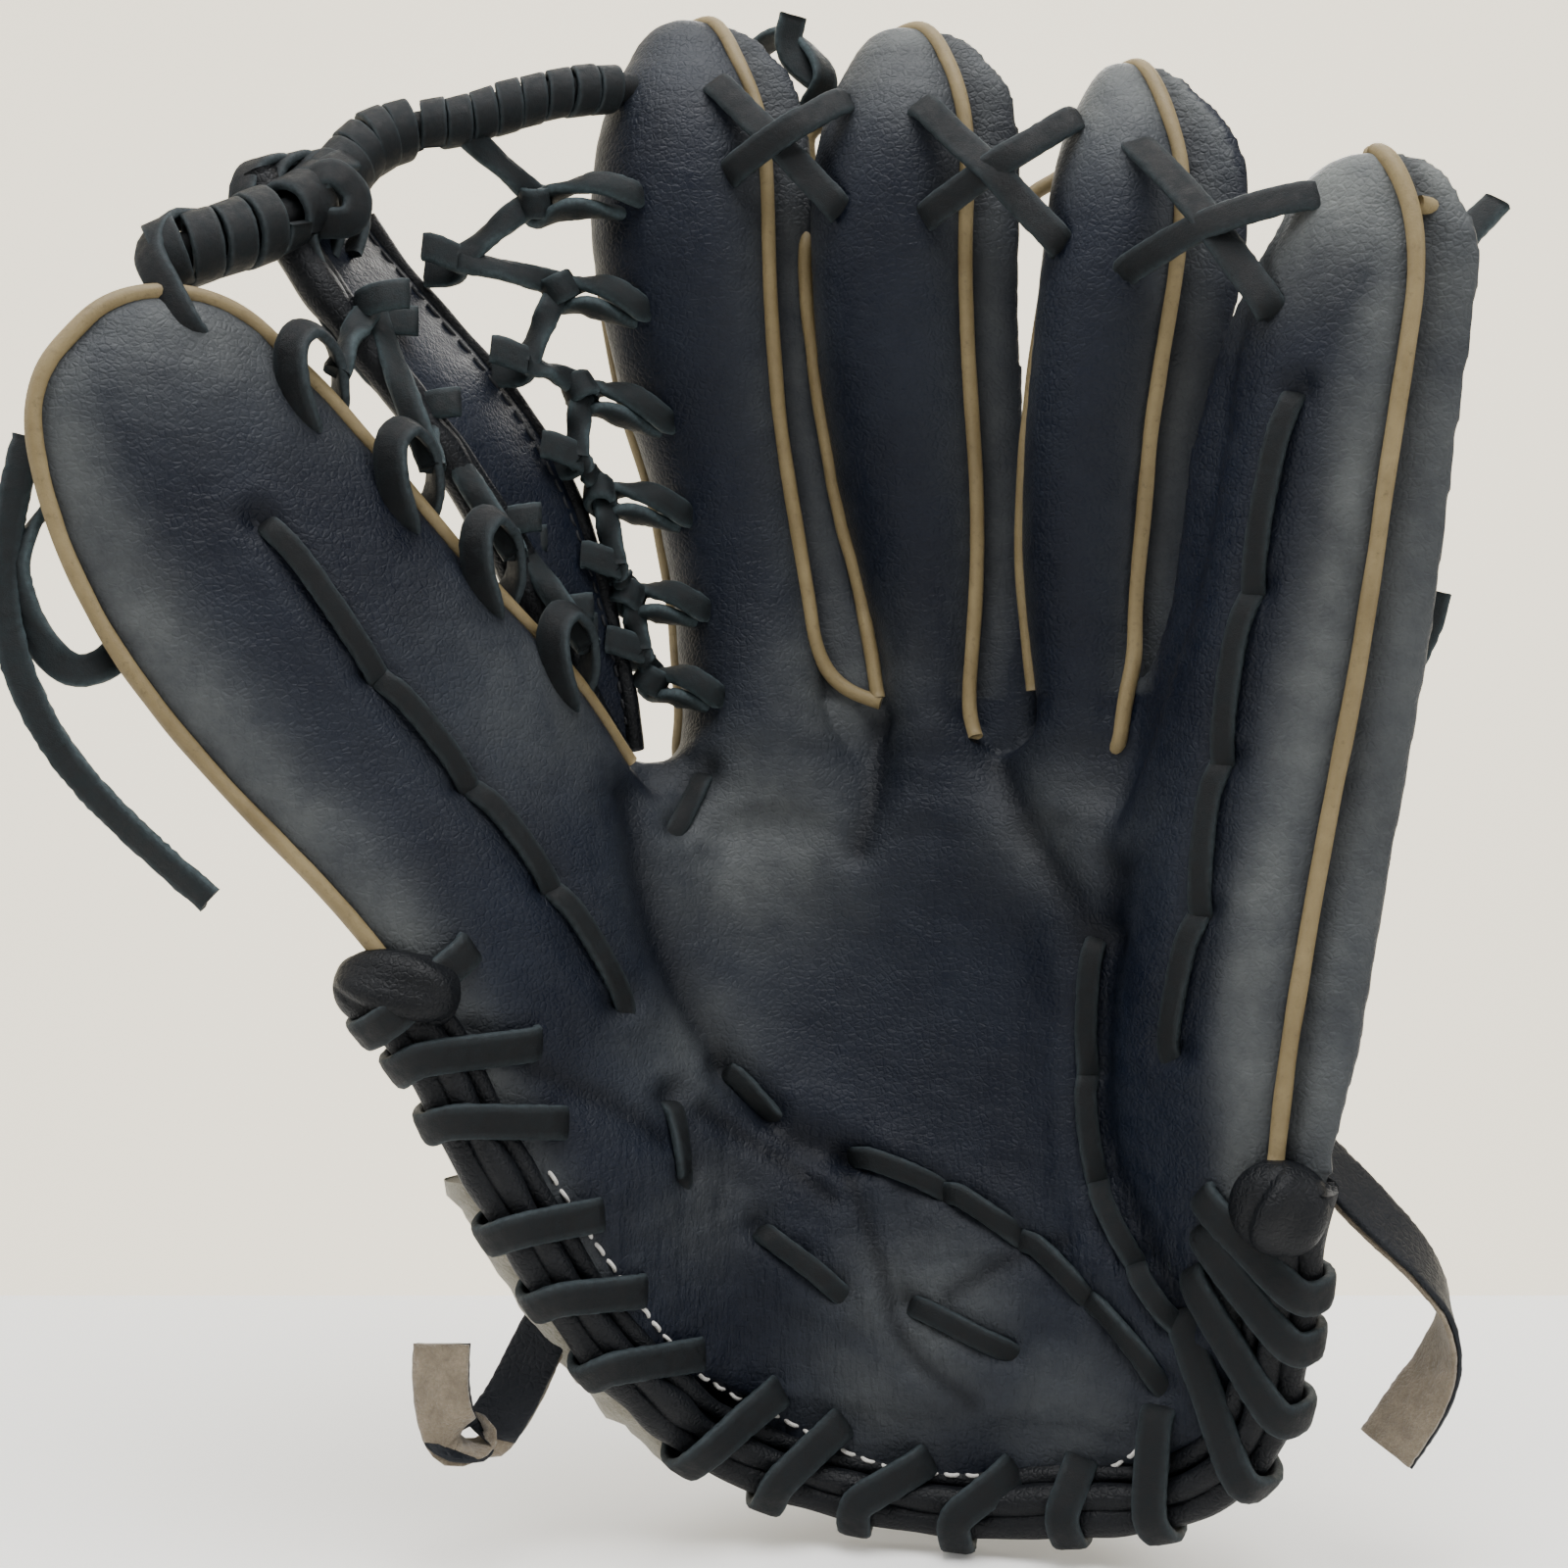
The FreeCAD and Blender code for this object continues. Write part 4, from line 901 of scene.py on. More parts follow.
PIPE = 3.3
PROUD = 0.22 * PIPE  # how far a welt's middle stands off the leather


def seam_run(stall, share, low, high, lift, out, steps=14):
    """Points along one of a stall's seams, standing a little in front of it and outside it."""
    run = []
    for z in np.linspace(low, high, steps):
        left, right, _, _ = stall.at(z)
        across = unit(right - left) * (1 if share > 0.5 else -1)
        point = stall.seam(z, share, lift)
        run.append([point[0] + across[0] * out, point[1] + across[1] * out, z])
    return run


def piping(name, left_low, right_low, lift_left, lift_right, out_left, out_right, top, hide=0.0, hook=()):
    """The welt up the left seam, over the tip and down the right; hide tucks the left run behind near the tip.

    Without a left_low the welt only comes over the tip from behind.
    """
    heap = Heap()
    stall = STALLS[name]
    right = seam_run(stall, 1, right_low, top, lift_right, out_right)
    if left_low is None:
        low = stall.high - 12
        back, crest = stall.seam(low, 0.55, -stall.at(low)[3]), stall.seam(stall.high, 0.6, -2.0)
        crest[2] += 4.0
        rope(heap, settled(spline([back, crest] + right[::-1], 2.0), PROUD), PIPE, 0.10)
        steps = ((8, 0), (8.5, 5), (11, 9), (16, 12))  # down from the tip, and out
        branch = [stall.seam(stall.high - drop, 1.0) + [out, out * 0.3, 0] for drop, out in steps]
        rope(heap, settled(spline(branch, 1.5), PROUD), PIPE, 0.05)
        return heap.make(name + "_piping", tan_piping)
    left = seam_run(stall, 0, left_low, top, lift_left, out_left)
    for k, point in enumerate(left):
        point[1] += hide * (k / (len(left) - 1)) ** 3
    a, b = np.array(left[-1]), np.array(right[-1])
    crown_z = stall.high + 3.0
    bridge = [
        [*(a[:2] * (1 - t) + b[:2] * t + np.array([0, hide * 0.5 * (1 - t)])),
         crown_z - 6.0 * (t - 0.5) ** 2 * 2]
        for t in (0.25, 0.5, 0.75)
    ]
    run = spline(left + bridge + right[::-1] + [list(front(x, z)) for x, z in hook], 2.0)
    rope(heap, settled(run, PROUD), PIPE, 0.10)
    return heap.make(name + "_piping", tan_piping)


def settled(run, stand):
    """A run laid onto the leather, standing a little proud of it."""
    placed = []
    for point in run:
        hit, normal, _, _ = front_of_skin.find_nearest(Vector(point))
        placed.append(np.array(hit + normal * stand))
    placed = np.array(placed)
    for _ in range(3):
        placed[1:-1] = (placed[:-2] + 2 * placed[1:-1] + placed[2:]) / 4
    return placed


for name, left_low, right_low, hook in (
    ("index", 134, 160, ((11, 153), (16, 149.5), (21.5, 148))), ("middle", 149, 138, ()),
    ("ring", 150, 122, ()),
):
    lift = 4.0 if name == "middle" else 0.6
    made = piping(name, left_low, right_low, lift, 2.4, 0.2, -0.2, STALLS[name].high - 9, 12.0, hook)
    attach(made, "hand")
    dressed(made, "tan_welt_leather", name + "_welt")
made = piping("thumb", 92, 134, 1.2, 1.0, 0.4, 0.3, STALLS["thumb"].high - 6)
bend_thumb(made)
dressed(made, "tan_welt_leather", "thumb_welt")
made = piping("little", None, 60, 1.0, 2.0, 0.2, -0.2, STALLS["little"].high - 8)
bend_little(made)
dressed(made, "tan_welt_leather", "little_welt")

# ---------------------------------------------------------------- running laces on the faces

def stitches_of(heap, holes, dip=3.2, rise=1.0, bow=1.5):
    """A running lace: each stretch comes out of one hole, lies on the leather and goes in at the next."""
    for k, (a, b) in enumerate(zip(holes, holes[1:])):
        a, b = np.array(a, float), np.array(b, float)
        along = unit(b - a)
        side = np.array([-along[1], along[0]]) * bow
        controls = [
            over(*(a + along * 0.5), -dip), over(*(a + along * 2.2 + side * 0.3), rise * 0.4),
            over(*(a * 0.72 + b * 0.28 + side), rise), over(*(a * 0.28 + b * 0.72 + side * 0.8), rise),
            over(*(b + along * 0.8), rise * 0.5), over(*(b + along * 3.4 - side * 0.4), -dip),
        ]
        lace(heap, controls, oblong(4.6, LACE_THICK))


for name, bend, runs, nodes in (
    ("thumb_running_lace", bend_thumb, [(THUMB_RUN, 1.5)], ["thumb_panel_lace"]),
    ("little_running_lace", bend_little, [(LITTLE_RUN, -1.5)], ["little_panel_lace"]),
    ("crease_running_lace", bend_little, [(HEEL_CREASE, 1.5), (LITTLE_CREASE, -1.0)], ["crease_lace"]),
    ("palm_tie_laces", bend_thumb, [(run, 0.6) for run in SHORT_RUNS + [CROTCH_RUN]], []),
):
    heap = Heap()
    for run, bow in runs:
        stitches_of(heap, run, bow=bow)
    complete(heap, name, black_lace, bend, "lace_leather", *nodes)

# ---------------------------------------------------------------- laces between the finger tips

def strand(heap, *controls, section=LACE):
    lace(heap, [(np.array(p, float), np.array(n, float)) for p, n in controls], section)


def turned(point, normal):
    """A control whose lace turns its flat more towards the palm side than the leather under it does."""
    return point, unit(normal * 0.45 + np.array([0, -1.0, 0.1]))


def tip_cross(heap, a_start, a_end, b_start, b_end, hop):
    """Two flat laces that cross over the gap between neighbouring finger tips."""
    for start, end, lift in ((a_start, a_end, 1.2), (b_start, b_end, 3.6)):
        (x0, z0), (x1, z1) = start, end
        p0, n0 = turned(*over(x0, z0, 1.0))
        p1, n1 = turned(*over(x1, z1, 1.0))
        middle = (p0 + p1) / 2 + np.array([0, -lift - hop, 0])
        way = unit(p1 - p0)
        strand(
            heap, (p0 - n0 * 4.5 + way * 0.4, n0), (p0 + way * 1.2 + n0 * 0.4, n0),
            (p0 * 0.7 + p1 * 0.3 + np.array([0, -lift, 0]), n0),
            (middle, (0.05, -1, 0.1)), (p0 * 0.3 + p1 * 0.7 + np.array([0, -lift, 0]), n1),
            (p1 - way * 1.2 + n1 * 0.4, n1), (p1 - n1 * 4.5 - way * 0.4, n1),
        )


for pair, ends in (
    ("index_middle", ((-15, 279), (12, 250), (-12, 259), (14, 273), 1.0)),
    ("middle_ring", ((28, 270), (56, 238), (29, 247), (60, 264), 1.5)),
):
    heap = Heap()
    tip_cross(heap, *ends)
    complete(heap, pair + "_tie", black_lace, on_hand, "lace_leather", pair + "_lace")

heap = Heap()
little_edge = STALLS["little"].seam(236, 0, 3.0)
p0, n0 = turned(*over(70, 257, 1.0))
p1, n1 = turned(*over(91, 219, 1.0))
strand(heap, (p0 - n0 * 4.5, n0), (p0 + n0 * 0.5 + np.array([0.5, 0, -2]), n0),
       (p0 * 0.6 + p1 * 0.4 + np.array([0, -2.5, 0]), n0),
       (p0 * 0.25 + p1 * 0.75 + np.array([0, -1.5, 0]), n1), (p1 + n1 * 0.4, n1),
       (p1 - n1 * 4 + np.array([0.5, 0, -1.5]), n1))
p0, n0 = turned(*over(68, 231, 1.0))
strand(heap, (p0 - n0 * 4.5 + np.array([-0.6, 0, -0.6]), n0), (p0 + n0 * 0.6 + np.array([0.6, 0, 0.8]), n0),
       (p0 * 0.5 + little_edge * 0.5 + np.array([0, -5.0, 3]), (0.1, -1, 0.3)),
       (little_edge + np.array([2, -3.5, 3]), (0.1, -1, 0.4)),
       (little_edge + np.array([7, -1.5, 2]), (0.2, -1, 0.5)),
       (little_edge + np.array([9, 3.5, 1]), (0.2, -1, 0.5)))
complete(heap, "ring_little_tie", black_lace, bend_little, "lace_leather", "ring_little_lace")

# ---------------------------------------------------------------- heel rolls, knobs and whipped lace


def middles(node, axis, count, trim=3.0):
    """Points down the middle of a tube node, taken from its slices along one axis."""
    points = triangles(node).reshape(-1, 3)
    low, high = points[:, axis].min() + trim, points[:, axis].max() - trim
    found = []
    for at in np.linspace(low, high, count):
        near = points[np.abs(points[:, axis] - at) < 1.6]
        if len(near):
            found.append((near.min(0) + near.max(0)) / 2)
    return found


thumb_roll = middles("heel_roll_thumb", 2, 8)[::-1]
middle_roll = middles("heel_roll_middle", 0, 8)
little_roll = middles("heel_roll_little", 2, 7)
thumb_to_middle = (thumb_roll[-1] + middle_roll[0]) / 2
middle_to_little = (middle_roll[-1] + little_roll[0]) / 2 + np.array([2.0, 0, -1.0])
heel_run = spline(
    np.array(thumb_roll[:-1] + [thumb_to_middle] + middle_roll[1:-1] + [middle_to_little] + little_roll[1:]),
    2.0
)
for _ in range(12):
    heel_run[1:-1] = (heel_run[:-2] + 2 * heel_run[1:-1] + heel_run[2:]) / 4
heel_way = unit(np.gradient(heel_run, axis=0))
FRONT_WAY = np.array([0.0, -1.0, 0.0])
heel_out = unit(np.cross(FRONT_WAY, heel_way))  # away from the palm
heel_out *= np.sign((heel_out * (heel_run - np.array([25.0, -30.0, 60.0]))).sum(1))[:, None]
heel_front = unit(np.cross(heel_way, heel_out))
heel_front *= np.sign((heel_front * FRONT_WAY).sum(1))[:, None]


def split_piece(heap, name, material, slot, left_nodes, right_nodes):
    """One piece that runs along the heel, parted mid-palm into a left and a right half."""
    on_left = np.vstack(heap.points)[np.vstack(heap.faces)][:, :, 0].mean(1) < SPLIT_X
    sides = (("left", on_left, bend_thumb, left_nodes), ("right", ~on_left, bend_little, right_nodes))
    for side, chosen, bend, nodes in sides:
        made = heap.make(f"{name}_{side}", material, chosen)
        bend(made)
        dressed(made, slot, *nodes)


HEEL_ROLLS = [(2.6, 1.6, 6.6, 0.35), (-1.6, 2.2, 5.6, 0.35), (0.6, -3.2, 7.2, 0.3), (-5.0, -1.2, 4.4, 0.3)]
heap = Heap()
for out, forward, diameter, wobble in HEEL_ROLLS:
    rope(heap, heel_run + heel_out * out + heel_front * forward, diameter, wobble)
split_piece(heap, "heel_roll", binding_leather, "binding_leather", ["heel_roll_thumb"],
            ["heel_roll_middle", "heel_roll_little"])

HOLES = [
    (-60, 99), (-48, 80), (-43, 64), (-36, 46), (-28, 30), (-17, 15), (-1, 6), (12, 0), (29, -6), (46, -7),
    (59, -4), (73, 8), (78, 26), (79, 36), (80, 45), (80, 52),
]
OUTER = [
    (-77, 85), (-73, 77), (-67, 65), (-59, 43), (-51, 28), (-43, 13), (-18, -3), (-2, -11), (16, -15),
    (35, -18),
    (58, -19), (76, -18), (92, -2), (97, 12), (99, 26), (99, 36),
]
heap = Heap()
for (hx, hz), (ox, oz) in zip(HOLES, OUTER):
    k = np.hypot(heel_run[:, 0] - ox, heel_run[:, 2] - oz).argmin()
    centre, out, forward = heel_run[k], heel_out[k], heel_front[k]
    hole, normal = over(hx, hz, 0.6)
    toward = unit(centre - hole)
    slack = rng.uniform(-0.4, 0.5)
    strand(
        heap,
        (hole - normal * 4.5 - toward * 0.2, normal - toward * 0.6),
        (hole + normal * (0.9 + slack * 0.4) + toward * 1.0, normal),
        (hole * 0.5 + (centre + forward * 6.5) * 0.5 + normal * 1.0, forward + normal),
        (centre + forward * (6.9 + slack) + out * 0.5, forward),
        (centre + forward * 4.2 + out * (6.4 + slack), forward + out),
        (centre + out * (7.6 + slack) - forward * 1.5, out),
        (centre - forward * 6.3 + out * 3.6, out - forward),
        (centre - forward * 8.0 - out * 2.0, -forward),
        (hole + np.array([0, 9.5, 0]) + toward * 2.0, -forward),
        (hole + np.array([0, 6.0, 0]) - toward * 0.5, -forward),
        section=WHIP,
    )
split_piece(heap, "heel_whip_lace", black_lace, "lace_leather", ["heel_lace_thumb"],
            ["heel_lace_middle", "heel_lace_little"])

STITCH_LINE = [(-46, 56), (-32, 33), (-16, 10), (2, -1), (20, -8), (39, -9), (58, -8), (68, -2), (74, 10)]
heap = Heap()
line = spline([[*front(x, z, 0.25)] for x, z in STITCH_LINE], 0.4)
along = np.concatenate([[0], np.cumsum(np.linalg.norm(np.diff(line, axis=0), axis=1))])
for start in np.arange(1, along[-1] - 4, 4.3):
    ends = np.stack([np.interp([start, start + 0.9, start + 2.2, start + 3.1], along,
                               line[:, k]) for k in range(3)], axis=1)
    normals_there = np.array([facing(p[0], p[2]) for p in ends])
    ends = np.array([front(p[0], p[2], 0) for p in ends]) + normals_there * np.array([[-0.5], [0.35], [0.35],
                                                                                      [-0.5]])
    rope(heap, ends, 0.85, section=circle(0.85, 8), step=0.5)
split_piece(heap, "heel_stitches", thread, "lace_leather", [], [])


heap = Heap()
stretch = slice(int(len(heel_run) * 0.14), int(len(heel_run) * 0.40))  # along the heel by the thumb
felt = heel_run[stretch] + heel_out[stretch] * 6.5 - heel_front[stretch] * 6.5
felt += np.array([[noise.noise(Vector(p) * 0.3 + Vector((k, 0, 0))) * 0.7 for k in (0, 5,
                                                                                    9)] for p in felt.tolist()])
sweep(heap, felt, heel_front[stretch] + heel_out[stretch] * 0.6, oblong(12.0, 6.0, 0.3),
      1 + 0.07 * np.sin(np.arange(len(felt)) * 0.9), rough=0.1)
complete(heap, "heel_felt", felt_look, bend_thumb, "wool_felt")


def knob(name, node, bend, turn, way, halves, shift):
    """The folded end of a heel roll: a pouch of leather drawn into pleats."""
    low, high = box(node)
    centre = (low + high) / 2 + np.array(shift, float)
    way = unit(np.array(way, float))
    side = unit(np.cross(way, [0, -1, 0.1]))
    face = np.cross(side, way)
    rows, around = 40, 56
    lat = np.linspace(-np.pi / 2 + 0.03, np.pi / 2 - 0.03, rows)[:, None]
    lon = np.arange(around)[None, :] / around * 2 * np.pi
    pleats = 0.07 * np.cos(5 * lon + turn + 1.6 * np.sin(lat)) * np.cos(lat) ** 0.5
    tuck = 0.16 * np.exp(-((np.sin(lon - turn) * 1.1 + 0.5 * lat - 0.3) / 0.16) ** 2)
    reach = 1 + pleats - tuck
    cloud = (
        centre + (np.sin(lat) * halves[0] * np.ones_like(lon))[..., None] * way
        + (np.cos(lat) ** 0.8 * np.cos(lon) * halves[1] * reach)[..., None] * side
        + (np.cos(lat) ** 0.8 * np.sin(lon) * halves[2] * reach)[..., None] * face
    ).reshape(-1, 3)
    faces = np.vstack([ring_faces(rows, around), end_caps(rows, around)])
    made = new_object(name, cloud, faces, binding_leather)
    bend(made)
    dressed(made, "binding_leather", node)


knob("thumb_knob", "heel_knob_thumb", bend_thumb, 0.4, (1, -0.1, -0.12), (12.0, 7.8, 8.0), (1.5, 0, 1.5))
knob("little_knob", "heel_knob_little", bend_little, 2.2, (0.1, 0, 1), (8.8, 9.0, 8.4), (-3.5, -1.0, -6.5))

# ---------------------------------------------------------------- web post


post = Stall("web_post", 0.0, 1.5)


def post_point(z, u, side):
    """A point on the post's front (side 1) or back (side -1) at a share across it."""
    left, right, depth, back = post.at(z)
    bow = (depth if side > 0 else -back) * math.sqrt(max(0.0, 1 - (2 * u - 1) ** 2))
    x, y, _ = post.seam(z, u, bow)
    return np.array([x, y, z])


heap = Heap()
rows = []
for z in np.linspace(post.low + 0.5, post.high, 70):
    us = (1 - np.cos(np.linspace(0, np.pi, 25))) / 2
    ring = [post_point(z, u, 1) for u in us] + [post_point(z, u, -1) for u in us[-2:0:-1]]
    rows.append(ring)
grid_points = np.array(rows)
bulk = np.array([noise.fractal(Vector(p) * 0.05, 1.0, 2.0, 3) for p in grid_points.reshape(-1,
                                                                                           3).tolist()]).reshape(grid_points.shape[:2])
grid_points[..., 1] += bulk * 0.8
around = grid_points.shape[1]
heap.add(grid_points.reshape(-1, 3), np.vstack([ring_faces(len(rows), around), end_caps(len(rows), around)]))
complete(heap, "web_post", shell_leather, bend_web, "shell_leather", "web_post_front", "web_post_back")


heap = Heap()
rope(heap, seam_run(post, 0, post.low + 1, post.high - 2, 0.6, 0.0, 12), 8.2, 0.35)
rope(heap, seam_run(post, 0, post.low + 1, post.high - 4, 1.6, -4.0, 12), 4.6, 0.3)
rope(heap, seam_run(post, 1, post.low + 1, post.high - 3, 0.3, -0.2, 12), 4.2, 0.25)
complete(heap, "web_binding", binding_leather, bend_web, "binding_leather", "web_binding_left",
         "web_binding_right")

heap = Heap()
SEWN_SHARE = 0.86  # where the post's seam runs, as a share across it
for z in np.arange(post.low + 6, post.high - 6, 3.6):
    a, b = post_point(z, SEWN_SHARE, 1), post_point(z + 2.5, SEWN_SHARE, 1)
    lift, dip = np.array([-0.1, -0.55, 0]), [0, 0.6, 0]
    stitch = [a + dip, a + lift + (b - a) * 0.2, a + lift + (b - a) * 0.8, b + dip]
    rope(heap, stitch, 0.7, section=circle(0.7, 8), step=0.5)
complete(heap, "web_stitches", black_thread, bend_web, "lace_leather")

# ---------------------------------------------------------------- web lacing


def loop_over(heap, hole, way, reach, thick, section=LACE, face=(0, -1, 0.15), drop=0.0):
    """A lace that comes out of a hole in front, goes round an edge and back in behind."""
    hole, way, face = np.array(hole, float), unit(np.array(way, float)), unit(np.array(face, float))
    step = np.array([0, 0, drop])
    strand(
        heap, (hole + face * 1.5 - way * 0.5, face), (hole + face * 2.0 + way * 1.0, face),
        (hole + face * (thick * 0.6) + way * (reach * 0.6) + step * 0.3, face + way * 0.3),
        (hole + way * reach + step * 0.5, way),
        (hole - face * (thick * 0.6 + 3) + way * (reach * 0.55) + step * 0.8, -face),
        (hole - face * (thick + 4) - way * 1.5 + step, -face),
    )


STOUT = oblong(5.6, 3.2, 0.6)
INDEX_HOLES = [(-32, 255), (-31, 232), (-26, 209), (-22, 189), (-18, 168), (-15, 149)]
NODES = [(-53, -12, 254), (-48, -10, 236), (-44, -6, 215), (-40, -3, 193), (-34, 0, 171), (-29, 2, 153)]
POST_RIGHT = [(-70, -16, 241), (-56, -14, 220), (-46, -8, 201), (-38, -4, 178), (-33, 0, 160)]
heap = Heap()
for (hx, hz), node in zip(INDEX_HOLES, NODES):
    hole = front(hx, hz, 0.8)
    node = np.array(node, float)
    gap = node - hole
    strand(heap, (hole + [1.0, 4.0, 0], (0, -1, 0)), (hole + [0.5, -1.2, 0.4], (0, -1, 0.2)),
           (hole + gap * 0.35 + [0, -2.6, 2.6], (-0.4, -1, 0.6)),
           (hole + gap * 0.75 + [0, 1.0, 2.2], (-0.6, 0.2, 1)), (node + [-1.5, 2.0, -0.5], (-1, 0.6, 0.2)),
           (node + [1.0, 2.5, -3.0], (-0.3, 1, -0.6)),
           (hole + gap * 0.6 + [0, -2.0, -2.6], (0.1, -0.6, -1)),
           (hole + gap * 0.25 + [0, 2.0, -2.4], (0.1, 0.5, -1)), (hole + [2.0, 9.0, -1.5], (0.2, 1, -0.4)),
           section=STOUT)
complete(heap, "index_web_loops", suede_lace, bend_web, "lace_leather", "index_web_lace")

heap = Heap()
zigzag = [np.array([-69, -18, 268.0])]
for k, node in enumerate(NODES):
    zigzag.append(np.array(node, float) + [0.5, 0.5, 1.0])
    if k < len(POST_RIGHT):
        zigzag.append(np.array(POST_RIGHT[k], float) + [1.5, 0, -1.0])
for k, (a, b) in enumerate(zip(zigzag, zigzag[1:])):
    turn = 1 if k % 2 else -1
    strand(heap, (a + [0, 1.5 * turn, 0], (0.2, -1, 0.3)),
           (a * 0.66 + b * 0.34 + [0, -1.5, 0], (0.6 * turn, -0.7, 0.5)),
           (a * 0.33 + b * 0.67 + [0, -0.8, 0], (-0.5 * turn, -0.8, 0.3)),
           (b + [0, -1.2 * turn, 0], (0.1, -1, -0.3)), section=STOUT)
for k, node in enumerate(NODES):  # the strand's knots
    node = np.array(node, float)
    ring = [node + np.array([math.cos(t) * 2.6, math.sin(t) * 3.2,
                             1.5 * math.sin(t + k)]) for t in np.linspace(0, 6.0, 8)]
    strand(heap, *[(p, p - node + np.array([0, 0, 0.3])) for p in ring])
for p in POST_RIGHT:
    p = np.array(p, float)
    loop_over(heap, p + [-5.0, -2.0, 1.0], (1, 0.25, -0.15), 8.0, 3.0, LACE, (0, -1, 0.2), -2.0)
complete(heap, "web_lattice", suede_lace, bend_web, "lace_leather", "web_lattice_lace")

THUMB_EDGE = [(-92, -56, 207), (-75, -47, 190), (-60, -37, 174), (-46, -26, 156)]
POST_LEFT = [(-81, -37, 226), (-72, -29, 206), (-57, -19, 184), (-47, -11, 166)]
heap = Heap()
for p in THUMB_EDGE:
    p = np.array(p, float)
    strand(
        heap,
        (p + [-0.5, 3.5, -10.0], (0.1, -1, -0.3)), (p + [0.6, -2.8, -9.0], (-0.1, -1, -0.4)),
        (p + [-0.4, -6.8, -1.5], (-0.5, -1, 0)),
        (p + [-0.6, -6.8, 5.5], (-0.4, -1, 0.4)), (p + [1.8, -3.0, 9.6], (0.2, -0.7, 1)),
        (p + [5.0, 4.0, 7.0], (1, 0.1, 0.7)),
        (p + [5.2, 8.5, -1.0], (1, 0.7, -0.1)), (p + [2.5, 9.5, -6.5], (0.3, 1, -0.6)),
        section=oblong(7.4, 2.3),
    )
complete(heap, "thumb_web_loops", black_lace, bend_thumb, "lace_leather", "thumb_web_lace")
heap = Heap()
run = []
for t, p in zip(THUMB_EDGE, POST_LEFT):
    run += [np.array(t, float) + [5.5, 4, 2.5], np.array(p, float) + [-2, 1, 0]]
for k, (a, b) in enumerate(zip(run, run[1:])):
    turn = 1 if k % 2 else -1
    strand(heap, (a, (0.3, -1, 0.3)), (a * 0.66 + b * 0.34 + [0, -1.2, 0.6], (0.7 * turn, -0.7, 0.5)),
           (a * 0.33 + b * 0.67 + [0, -1.2, 0.6], (-0.4 * turn, -0.9, 0.4)), (b, (0.2, -1, 0.1)),
           section=STOUT)
for p in POST_LEFT:
    p = np.array(p, float)
    loop_over(heap, p + [6.0, -3.0, 1.0], (-1, 0.1, -0.1), 10.0, 4.5, LACE, (0.1, -1, 0.2), -1.5)
complete(heap, "post_web_loops", suede_lace, bend_web, "lace_leather", "web_post_lace")

# ---------------------------------------------------------------- crown of the web

CROWN = [
    (-120, -62, 227), (-114, -60, 231), (-105, -54, 236), (-97, -44, 243), (-92, -34, 251), (-86, -27, 261),
    (-78, -22, 266), (-68, -19, 269), (-58, -16, 273), (-46, -12, 277), (-36, -6, 280), (-30, -2, 280),
]
crown = spline(CROWN, 0.8)
crown_along = np.concatenate([[0], np.cumsum(np.linalg.norm(np.diff(crown, axis=0), axis=1))])


def crown_at(distance):
    """The crown's middle at a distance along it, and the way it runs there."""
    behind, point, ahead = (
        np.array([np.interp(at, crown_along, crown[:, k]) for k in range(3)])
        for at in (distance - 1, distance, distance + 1)
    )
    return point, unit(ahead - behind)

def out_of_crown(way, angle):
    """The way out of the crown's side, at an angle round it."""
    side = unit(np.cross(way, [0.2, -1, 0.3]))
    return side * math.cos(angle) + np.cross(side, way) * math.sin(angle)


def wound(heap, first, last, pitch, radius, width, thick=1.9):
    """A lace wound round the crown, its turns laid edge to edge."""
    total = (last - first) / pitch
    count = int(total * 14)
    controls = []
    for k in range(count + 1):
        share = k / count
        centre, way = crown_at(first + (last - first) * share)
        outward = out_of_crown(way, 2 * math.pi * total * share)
        swell = radius * (1 + 0.05 * math.sin(7.3 * share * total) + 0.04 * math.sin(2.1 * share * total + 1))
        controls.append([*(centre + outward * swell), *outward])
    rows = spline(controls, 1.0)
    sweep(heap, rows[:, :3], rows[:, 3:6], oblong(width, thick, 0.86), rough=0.04)


heap = Heap()
rope(heap, crown[4:], 6.4, 0.2)
total_run = crown_along[-1]
wound(heap, 3.0, 30.0, 6.6, 6.0, 6.2, 1.8)
wound(heap, 47.0, 73.0, 5.4, 5.4, 5.1, 1.8)
wound(heap, 76.0, total_run - 9, 5.6, 4.3, 5.2, 1.7)
strand(
    heap,
    ((-113, -56, 238), (-0.2, 0.3, 1)), ((-117, -62, 236), (-0.7, -0.4, 1)),
    ((-118, -67.5, 229), (-0.6, -1, 0.2)), ((-114, -70, 221), (-0.3, -1, 0)),
    ((-110.5, -70, 214), (0, -1, -0.1)), ((-108.5, -64, 211), (0.3, -0.7, -0.8)),
    section=oblong(6.8, 2.2),
)
for at, tilt in ((34.0, 0.5), (38.5, -0.3), (43.0, 0.2)):
    centre, way = crown_at(at)
    ring = []
    for t in np.linspace(0, 2 * math.pi, 13):
        out = out_of_crown(way, t)
        ring.append((centre + out * 5.6 + way * tilt * 3 * math.sin(t), out))
    strand(heap, *ring)
complete(heap, "crown_wraps", black_lace, bend_web, "lace_leather", "crown_core", "crown_wrap_thumb",
         "crown_wrap_index")

